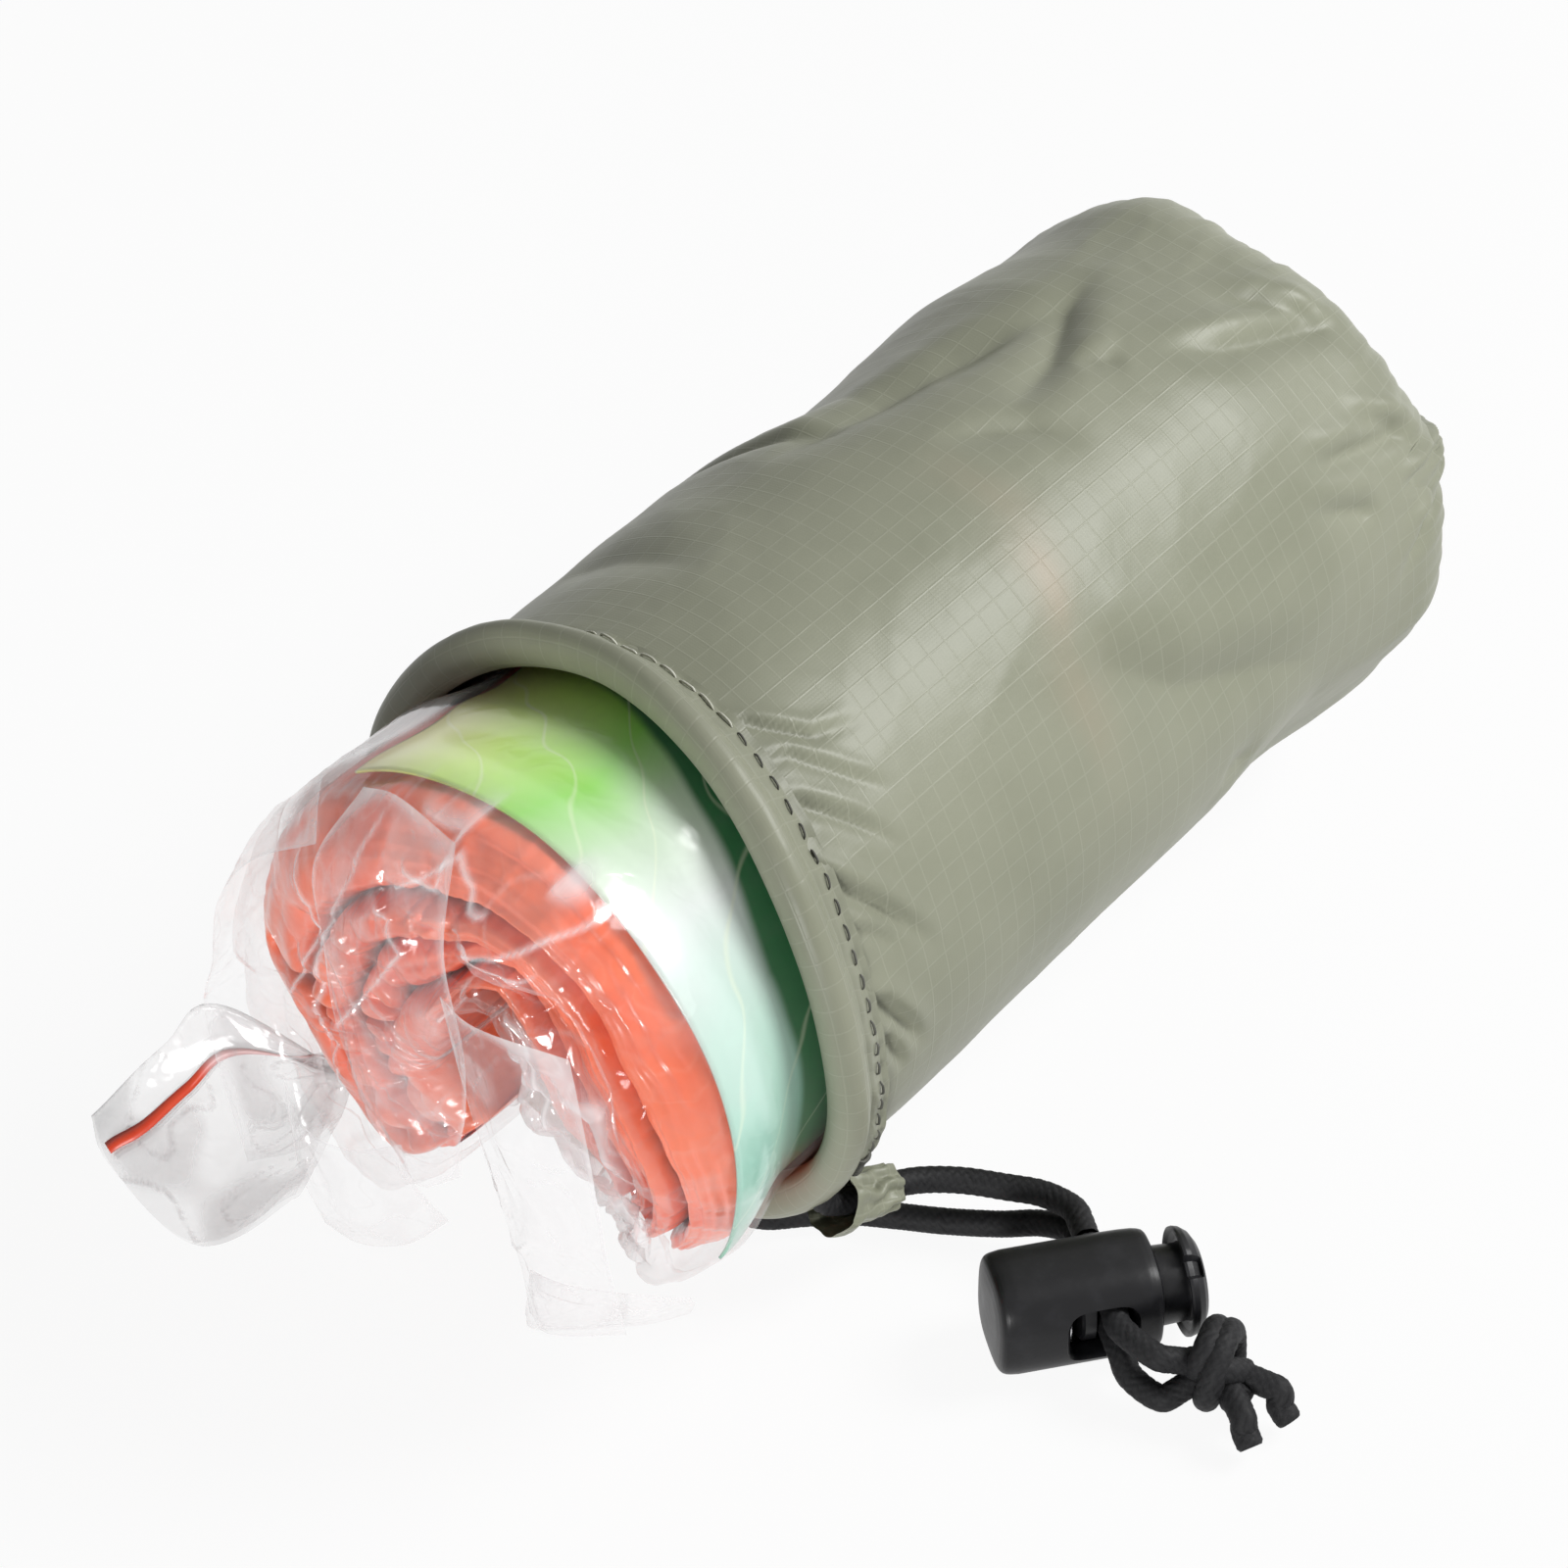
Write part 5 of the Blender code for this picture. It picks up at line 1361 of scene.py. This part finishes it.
def packetShell(rows, faceColumns, inset, relief, wrinkle):
    # outer wall, front face, inner wall and back as one closed loop, carried from leg end to leg end
    setup = packetSetup
    low, high = setup["legEnds"]
    angle = np.linspace(low, high, rows)[:, None]
    share = np.linspace(0, 1, faceColumns)[None, :]
    face = frontOf(angle, share) + inset + relief(angle, share)
    run = np.linspace(1, 0, 37)[None, :-1] ** 1.7
    outerX = face[:, :1] + (setup["back"] - inset - face[:, :1]) * run
    innerX = face[:, -1:] + (setup["back"] - inset - face[:, -1:]) * run[:, ::-1]
    backShare = np.linspace(1, 0, 20)[None, 1:-1]
    backX = np.full((rows, 18), setup["back"] - inset)
    x = np.concatenate([outerX, face, innerX, backX], 1)
    zero = np.zeros((rows, 36))
    shares = np.concatenate([zero, share + 0 * angle, zero + 1, backShare + 0 * angle], 1)
    lift = -inset * (1 - 2 * shares) + wrinkle(x, angle, shares) * openShare(x)
    along = inset * (smooth((low + 8 - angle) / 8) - smooth((angle - high + 6) / 6)) + 0 * x
    caps = []
    for row in (0, -1):
        for k in (0.0, 0.4, 0.72, 0.92):
            bulge = (-0.9 if row == 0 else 0.9) * np.sqrt(1 - k * k)
            caps.append((x[row], angle[row], 0.5 + (shares[row] - 0.5) * k, lift[row] * k, along[row] + bulge))
    first, last = caps[:4], caps[4:][::-1]
    rowsOf = [np.stack([np.broadcast_to(cap[k], x[0].shape) for cap in first]) for k in range(5)]
    endOf = [np.stack([np.broadcast_to(cap[k], x[0].shape) for cap in last]) for k in range(5)]
    whole = [
        np.concatenate([a, b, c]) for a, b, c in zip(rowsOf, (x, angle + 0 * x, shares, lift, along), endOf)
    ]
    return whole, packetPlace(*whole)


filmFolds = {
    "edges": (0.0, 0.37, 0.58, 0.79, 1.0),
    "crests": (1.2, 0.0, 1.0, -0.8),
    "depth": 8.0,
    # ring angle, half width in degrees, depth, and the share where each valley across the left lobes begins
    "across": ((-40.0, 2.2, 4.5, 0.22), (-31.0, 2.4, 5.5, 0.16), (-22.0, 2.0, 4.0, 0.30),
               (-14.0, 2.2, 4.5, 0.20), (-4.0, 3.0, 9.0, 0.02), (7.0, 2.4, 4.5, 0.30),
               (17.0, 2.4, 3.5, 0.40), (28.0, 3.0, 4.5, 0.20), (45.0, 3.0, 3.0, 0.34)),
}


def filmRelief(angle, share):
    # the folded layers' edges: long rounded crests round the right leg, a fan of folds across the left lobes
    right = smooth((angle - 52) / 34)
    sway = 0.045 * noise(angle / 44, share * 2.0, 201) + 0.010 * noise(angle / 15, share * 4, 202)
    warp = share + sway * np.sin(np.pi * share)
    edges = np.array(filmFolds["edges"])
    k = np.clip(np.searchsorted(edges, warp, side="right") - 1, 0, 3)
    s = np.clip((warp - edges[k]) / (edges[k + 1] - edges[k]), 0, 1)
    side = np.abs(2 * s - 1)
    side = np.where(((k == 0) & (s < 0.5)) | ((k == 3) & (s > 0.5)), 0, side)
    deep = filmFolds["depth"] * (0.85 + 0.4 * noise(angle / 48, k * 3.3, 203)) * smooth((angle + 60) / 20)
    rings = deep * side**4.4 * (0.80 + 0.20 * right)
    crest = np.array(filmFolds["crests"])[k] * (1 - side**4)
    fan = 0.0
    for place, width, depth, start in filmFolds["across"]:
        bent = turned(angle, place) + 6 * noise(share * 1.9, place / 7, 204)
        across = depth * np.exp(-np.abs(bent / width) ** 1.5)
        fan = fan + across * smooth((share - start) / 0.14) * smooth((0.93 - share) / 0.2)
    fan = 0.38 * fan * (1 - right)
    along = noise(angle / 36, share * 24, 205) * right + noise(angle / 14, share * 9, 206) * (1 - right)
    broad = 1.2 * noise(angle / 40, share * 2, 207)
    knot = np.exp(-((angle - 78) / 13) ** 2 - ((share - 0.42) / 0.2) ** 2)
    broken = knot * 1.5 * creased(angle / 9, share * 5, 208)
    pinch = (1 - smooth((0.98 - share) / 0.25)) * (1 - right)
    return (rings + fan + crest + 0.45 * along + broad + broken) * (1 - pinch) * smooth(share / 0.08)


def filmWrinkle(x, angle, share):
    return (
        -0.6 * np.abs(noise(x / 9, angle / 14, 211)) * (1 - share)
        - 0.25 * np.abs(noise(x / 14, angle / 4, 212))
    )


grid, points = packetShell(380, 150, 1.4, filmRelief, filmWrinkle)
x, angle, share = grid[:3]
onFace = smooth((frontOf(angle, share) + 14 - x) / 4)
# valley: painted shade, darkening the deep valleys of the film's front
valley = smooth((filmRelief(angle, share) - 1.8) / 3.6) * onFace
gridPiece(
    "filmBag", "packet", orangeFilm, "folded_film_bag", "orange_film", points, closedColumns=True,
    attributes={"valley": valley}
)
print("folded film made")


cardSetup = {"angles": (53.75, 206.5), "front": -58.0, "length": 92.0}


def cardSurface():
    # a card bent round the packet just under the clear film
    t = np.linspace(0, 1, 180)[:, None]
    v = np.linspace(0, 1, 120)[None, :]
    angle = cardSetup["angles"][0] + (cardSetup["angles"][1] - cardSetup["angles"][0]) * t
    lean = -1.6 * smooth((angle - 90) / 50) + 1.2 * smooth((angle - 185) / 25)
    x = cardSetup["front"] + lean + cardSetup["length"] * v
    return packetPlace(x, angle + 0 * v, 0.0, -0.75 + 0.12 * noise(t * 6, v * 5, 101))


card = gridPiece(
    "printedCard", "packet", cardPrint, "printed_card", "card_print", cardSurface(),
    uvGrid(np.linspace(0, 1, 181), np.linspace(0, 1, 121))
)
thicken(card, 0.35, -1.0)


def veilAndGlints(u, v, seed):
    # where the film looks milky: soft patches, and thin bright lines along its creases that stand in for glints
    # on the crease facets, a painted highlight
    patch = smooth((noise(u, v, seed) + 0.05) / 0.35)
    line = smooth((ridges(u * 1.3 + 0.4 * noise(v, u, seed + 1), v * 1.1, seed + 2) - 0.86) / 0.14)
    return patch, line


def skinRelief(angle, share):
    # the bag bridges the folds, with broad facets and sharp creases of its own
    facets = 1.7 * creased(angle / 30, share * 2.3, 113) + 0.5 * creased(angle / 14, share * 4.5, 114)
    film = filmRelief(angle, share)
    skin = (0.16 * film - 1.6 * smooth(share / 0.2) + facets) * smooth(share / 0.1)
    return np.minimum(skin, film + 1.0)


def skinWrinkle(x, angle, share):
    beside = 1 - smooth((angle - 46) / 12) * smooth((218 - angle) / 12)
    return beside * (0.30 * creased(x / 12, angle / 14, 116) + 0.10 * noise(x / 6, angle / 7, 117))


# sharp creases of the bag's front, as lines of (y, z)
skinCreases = [
    ((10.5, 74), (11.5, 63.5), (15.2, 52.2), (15.5, 38.1), (11.5, 30.3)),
    ((21, 64), (14.6, 56.5), (20.5, 41.3)),
    ((8, 73), (0, 74), (-1, 70), (6, 70)),
    ((7, 66), (1, 70.5), (-1.5, 73), (-6, 70), (-8, 70)),
    ((8.5, 65), (4.5, 60.5), (3, 59.5), (8.8, 50), (14.6, 40)),
    ((-2.9, 64.7), (-12, 65.5), (-15.5, 66.5)),
    ((-5, 65.5), (-14, 69), (-20, 70)),
    ((-19.5, 69.5), (-11, 72)),
    ((-6.3, 61.5), (-4.6, 56), (-1, 51), (-4.9, 47), (-8.4, 45)),
    ((-10.4, 58.7), (-13.8, 56), (-15.6, 48), (-16, 41)),
]
grid, points = packetShell(380, 150, -0.05, skinRelief, skinWrinkle)
x, angle, share = grid[:3]
onFace = smooth((frontOf(angle, share) + 5 - x) / 4) * openShare(x)
patch, line = veilAndGlints(angle / 30, share * 2.4, 118)
rightInner = smooth((angle - 118) / 30) * smooth((share - 0.36) / 0.14)
leftWall = smooth((57 - angle) / 5) * smooth((angle + 8) / 16) * smooth((-28 - x) / 8)
# milky film in soft patches and on the right leg's inner face, painted glints along its crease lines, and the
# left wall near the rim whitened as painted light where it lies in shade
milk = (
    onFace * (0.06 * patch + 0.10 * line + rightInner * (0.30 + 0.20 * patch)) + (1 - onFace) * 0.55 * leftWall
)
for line in skinCreases:
    far, side, along = lineDistance(points[..., 1], points[..., 2], line)
    sharp = smooth(along / 0.12) * smooth((1 - along) / 0.12) * onFace
    points[..., 0] -= 1.3 * sharp * np.clip(1 - far / 5.5, 0, 1)
    # bright lines along the sharp creases: painted glints
    milk = milk + 0.45 * sharp * bell(far, 0.26)
gridPiece(
    "clearBag", "packet", clearFilm, "clear_zip_bag", "clear_film", points, closedColumns=True,
    attributes={"milk": milk}
)


# Loose film of the bag: sheets through a few rows of points, then crumpled square to themselves


def throughPoints(points, count):
    # Catmull-Rom: each stretch is a cubic whose ends follow the line between the points beside them
    points = np.asarray(points, float)
    padded = np.concatenate([2 * points[:1] - points[1:2], points, 2 * points[-1:] - points[-2:-1]])
    t = np.linspace(0, len(points) - 1, count)
    k = np.minimum(t.astype(int), len(points) - 2)
    f = (t - k).reshape(-1, *[1] * (points.ndim - 1))
    a, b, c, d = padded[k], padded[k + 1], padded[k + 2], padded[k + 3]
    return (
        b + 0.5 * f * (c - a) + f**2 * (a - 2.5 * b + 2 * c - 0.5 * d)
        + f**3 * (-0.5 * a + 1.5 * b - 1.5 * c + 0.5 * d)
    )


def sheetThrough(controls, rows, columns):
    grid = throughPoints(controls, rows)
    return throughPoints(grid.swapaxes(0, 1), columns).swapaxes(0, 1)


def looseFilm(name, controls, rows, columns, size, crumple, seed, milkiness):
    # size is the sheet's rough length and width in mm, so that its creases keep one scale
    points = sheetThrough(controls, rows, columns)
    u = np.linspace(0, size[0], rows)[:, None] / 8
    v = np.linspace(0, size[1], columns)[None, :] / 8
    inside = (
        np.minimum(np.linspace(0, 1, rows), np.linspace(1, 0, rows))[:, None]
        * np.minimum(np.linspace(0, 1, columns), np.linspace(1, 0, columns))[None, :]
    )
    lift = (
        crumple * (creased(u * 0.6, v * 0.6, seed) + 0.3 * creased(u * 1.5, v * 1.5, seed + 1))
        * smooth(inside / 0.06)
    )
    points = points + gridNormals(points) * lift[..., None]
    points[..., 2] = np.maximum(points[..., 2], 0.1)
    patch, line = veilAndGlints(u * 0.8, v * 0.8, seed + 2)
    # milky patches, painted glints along the creases, and a bright rim at the sheet's edges: painted highlight
    milk = milkiness * (0.35 + 0.65 * patch) + 0.12 * line + 0.30 * smooth(1 - inside / 0.012)
    gridPiece(name, "packet", clearFilm, None, "clear_film", points, attributes={"milk": milk})


looseFilms = {
    # the bag's middle fold, standing in front of the gap between the legs
    "filmGusset": (
        (((-62, 16, 70), (-64, 9, 74), (-65, 0, 73)), ((-69, 17.5, 63), (-72, 8, 66), (-71, -3, 63)),
         ((-70, 16, 52), (-75, 6, 53), (-72, -6, 51)), ((-70, 15, 41), (-74.5, 5, 41), (-71, -5, 40)),
         ((-69.5, 12, 31), (-72.5, 5, 30), (-69, -2, 31)), ((-68, 8, 22), (-69.5, 4, 21), (-67, 0, 23))),
        120, 80, (56, 26), 0.9, 301, 0.20),
    # along the inside of the right leg, down to the floor
    "filmCurtain": (
        (((-71, -2, 56), (-73, -9, 57), (-70.5, -20, 57)), ((-71, -5, 43), (-73, -12, 43), (-71, -23, 43)),
         ((-69.5, -7.5, 28), (-72, -14, 28), (-70, -24, 28)),
         ((-66, -7.5, 13), (-68.5, -13, 13), (-65.5, -22, 14)),
         ((-62.5, -5.5, 0.4), (-63.5, -9.5, 0.3), (-60, -18, 3))),
        120, 70, (56, 20), 0.8, 311, 0.26),
    # under the right leg's foot
    "filmFoot": (
        (((-66, -9, 13), (-66, -14, 14), (-63, -20, 14), (-58, -26, 13)),
         ((-65, -7.5, 7), (-66, -12, 7), (-61, -19, 7), (-55, -24, 8)),
         ((-63, -5.2, 0.4), (-63.8, -8, 0.3), (-56, -16.5, 0.2), (-51, -20, 0.3))),
        60, 90, (14, 26), 0.5, 321, 0.34),
    # from the left lobes' outline out to the zip strip
    "filmDrape": (
        (((-60, 24, 66), (-60, 30, 58), (-59, 33, 48), (-58, 33, 37), (-59, 30, 26), (-62, 24, 13)),
         ((-65, 20, 68), (-66, 28, 61), (-65, 33, 50), (-63, 35, 38), (-63, 34, 27), (-66, 26, 10)),
         ((-69, 17, 66), (-70, 26, 59), (-69, 33, 48), (-66, 38, 33), (-64, 42, 20), (-68, 33, 5))),
        60, 120, (16, 74), 0.35, 331, 0.05),
    # under the left lobes, down to the floor
    "filmUnderLobe": (
        (((-67, 27, 22), (-68, 23, 17), (-68, 16, 18), (-68, 8, 24)),
         ((-68.5, 24, 10), (-69.5, 19, 8), (-69, 13, 10), (-67, 7, 17)),
         ((-67, 22, 1.0), (-66.5, 17, 0.4), (-65, 11, 3), (-64, 5, 10))),
        60, 80, (22, 26), 0.5, 341, 0.28),
}
for name, setup in looseFilms.items():
    looseFilm(name, *setup)
print("clear film made")


# Zip strip: two films with the tracks between them, wrapped round the packet in the sack, spread out in front

stripSetup = {
    "width": 33.0,
    "start": -8.0,
    "thickness": 3.0,
    "back": 70.0,
    "lineAt": 25.0,
    "across": (0.0, 12.0, 25.0, 33.0),
    # rows of points at the distances across, from the front edge back to where the strip
    # lies against the packet
    "rows": (
        ((-71.0, 22.0, 9.0), (-79.0, 31.5, 1.2), (-76.7, 46.9, 2.2), (-72.7, 53.6, 3.2)),
        ((-66.0, 22.5, 13.0), (-69.0, 33.0, 5.0), (-66.2, 43.9, 8.5), (-65.5, 48.0, 13.0)),
        ((-60.0, 24.0, 17.0), (-61.0, 33.5, 9.0), (-60.0, 40.5, 12.5), (-60.0, 43.5, 18.0)),
        ((-52.0, 29.0, 27.0), (-52.0, 28.6, 17.0), (-52.0, 27.0, 10.5), (-52.0, 26.0, 8.5)),
    ),
    "wrapFrom": -44.5,
}


def stripWrapped(distance, x):
    setup = stripSetup
    reach = packetSetup["radius"] - 0.6 - setup["thickness"] / 2
    turn = math.radians(setup["start"]) - distance / reach
    return pointsOf(x, packetSetup["axisY"] + reach * np.cos(turn), packetSetup["axisZ"] + reach * np.sin(turn))


def stripMiddle(distance, t):
    # t runs from 0 at the front edge to 1 where the strip meets the packet, and on to 2 at its back end
    setup = stripSetup
    across = np.array(setup["across"])
    rows = [
        *np.array(setup["rows"]), stripWrapped(across, setup["wrapFrom"]),
        stripWrapped(across, setup["wrapFrom"] + 12.0)
    ]
    down, over = 20, 32  # fine steps from one point to the next
    height, width = down * (len(rows) - 1), over * (len(across) - 1)
    fine = sheetThrough(rows, height + 1, width + 1)
    place = np.interp(distance, across, np.arange(len(across))) * over
    row = np.clip(t, 0, 1) * down * len(setup["rows"])
    i, j = np.minimum(row.astype(int), height - 1), np.minimum(place.astype(int), width - 1)
    fi, fj = (row - i)[..., None], (place - j)[..., None]
    free = (
        (fine[i, j] * (1 - fj) + fine[i, j + 1] * fj) * (1 - fi)
        + (fine[i + 1, j] * (1 - fj) + fine[i + 1, j + 1] * fj) * fi
    )
    wrapped = stripWrapped(
        distance, setup["wrapFrom"] + (setup["back"] - setup["wrapFrom"]) * np.clip(t - 1, 0, 1)
    )
    return np.where((t > 1)[..., None], wrapped, free)


def stripPoint(distance, t, out):
    distance, t, out = together(distance, t, out)
    half = stripSetup["width"]
    way = stripMiddle(np.minimum(distance + 0.6, half), t) - stripMiddle(np.maximum(distance - 0.6, 0), t)
    run = stripMiddle(distance, t + 0.02) - stripMiddle(distance, t - 0.02)
    normal = np.cross(run, way)
    normal /= np.maximum(np.linalg.norm(normal, axis=-1, keepdims=True), 1e-9)
    return stripMiddle(distance, t) + normal * out[..., None]


def stripRelief(distance, t):
    free = smooth((0.9 - t) / 0.3)
    return free * (0.4 * noise(t * 3.2, distance / 11, 121) + 0.3 * creased(t * 2.6, distance / 14, 122))


def stripSurface():
    # out on the top film, round the open edge, and back on the lower film
    across = np.linspace(0, stripSetup["width"], 60)
    half = 1.3 - 0.8 * smooth((across - 27) / 6)
    distance = np.concatenate([across, across[::-1]])[None, :]
    t = np.concatenate([np.linspace(0, 1, 110), 1 + np.linspace(0, 1, 40)[1:]])[:, None]
    out = np.concatenate([half, -half[::-1]])[None, :] * (0.35 + 0.65 * smooth(t / 0.9))
    points = stripPoint(distance, t, out + stripRelief(distance, t))
    points[..., 2] = np.maximum(points[..., 2], 0.15)
    patch, line = veilAndGlints(t * 5, distance / 12, 124)
    # milky patches, and painted glints along the creases of the free part
    return points, 0.22 * patch + 0.35 * line * smooth((1 - t) / 0.1)


points, milk = stripSurface()
gridPiece("zipStrip", "packet", milkyFilm, None, "clear_film", points, attributes={"milk": milk})


def alongStrip(name, place, section, start, stop, material, replaces, fadeFrom=9.0):
    # a small section carried along the zip, given as (across, out) corners; milky past fadeFrom
    t = np.concatenate([np.linspace(start, 1, 150), 1 + np.linspace(0, stop - 1, 60)[1:]])[:, None]
    across, out = np.array(section, float).T
    hook = 1.4 * bell(t - start, 0.07)
    points = stripPoint(
        place + across[None, :] + hook, t, out[None, :] * (0.5 + 0.5 * smooth(t / 0.9)) + stripRelief(place, t)
    )
    milk = smooth((t - fadeFrom) / 0.12) * 0.85 + 0 * across[None, :]
    mesh = gridMesh(name, points, closedColumns=True, attributes={"milk": milk})
    addPiece(name, mesh, "packet", material, replaces)


rib = ((-0.4, 0.4), (0.4, 0.4), (0.4, -0.5), (-0.4, -0.5))
groove = (
    (-1.1, -0.8), (1.1, -0.8), (1.1, 0.3), (0.75, 0.3), (0.75, -0.45), (-0.75, -0.45), (-0.75, 0.3), (-1.1, 0.3)
)
alongStrip("zipRib", stripSetup["lineAt"], rib, 0.03, 1.97, milkyFilm, ("zip_rib_track",))
alongStrip(
    "zipGroove", stripSetup["lineAt"], groove, 0.02, 1.98, milkyFilm, ("zip_groove_track",)
)
line = ((-0.75, 1.35), (0.75, 1.35), (0.75, 1.6), (-0.75, 1.6))
alongStrip("zipLine", stripSetup["lineAt"], line, 0.02, 1.98, zipLine, ("zip_red_line",), 0.30)
print("zip strip made")


# Floor, backdrop and light

lightSetup = {
    "key": {"way": (0.25, -0.78, 0.57), "distance": 1.3, "size": 0.7, "power": 1.0},
    "gloss": {"way": (0.55, -0.48, 0.70), "distance": 1.1, "size": 0.5, "power": 12.2},
    "front": {"way": (-0.90, -0.42, 0.14), "distance": 1.3, "size": 0.32, "power": 9.2},
    "world": 0.08,
}


def floorPiece():
    mesh = bpy.data.meshes.new("floor")
    work = bmesh.new()
    bmesh.ops.create_grid(work, x_segments=2, y_segments=2, size=3.0)
    work.to_mesh(mesh)
    work.free()
    floor = bpy.data.objects.new("floor", mesh)
    floor.location = (0, 0, -0.0002)
    scene.collection.objects.link(floor)
    material, nodes, shader, place = newMaterial("paleFloor")
    tint = mixColour(noiseNode(place, 40.0), (0.70, 0.70, 0.70), (0.74, 0.74, 0.74))
    fill(shader, {"Base Color": tint, "Roughness": 0.9, "Specular IOR Level": 0.1})
    emission = fill(nodes.new("ShaderNodeEmission"), {"Strength": 1.0})
    mixer = nodes.new("ShaderNodeMixShader")
    fill(mixer, {0: times(seenRays(nodes), 0.93), 1: shader.outputs[0], 2: emission.outputs[0]})
    fill(nodes["Material Output"], {"Surface": mixer.outputs[0]})
    mesh.materials.append(material)


def makeWorld():
    world = bpy.data.worlds.new("world")
    scene.world = world
    world.use_nodes = True
    nodes = world.node_tree.nodes
    strength = mapRange(seenRays(nodes), 0.0, 1.0, lightSetup["world"], 1.0)
    fill(nodes["Background"], {"Strength": strength, "Color": (1, 1, 1, 1)})


def addLight(name, setup):
    lamp = bpy.data.lights.new(name, "AREA")
    lamp.shape = "DISK"
    lamp.size = setup["size"]
    lamp.energy = setup["power"]
    light = bpy.data.objects.new(name, lamp)
    way = Vector(setup["way"]).normalized()
    light.location = Vector((0, 0, 0.03)) + way * setup["distance"]
    light.rotation_euler = way.to_track_quat("Z", "Y").to_euler()
    scene.collection.objects.link(light)


floorPiece()
makeWorld()
for name in ("key", "gloss", "front"):
    addLight(name + "Light", lightSetup[name])
print("stage and light set")
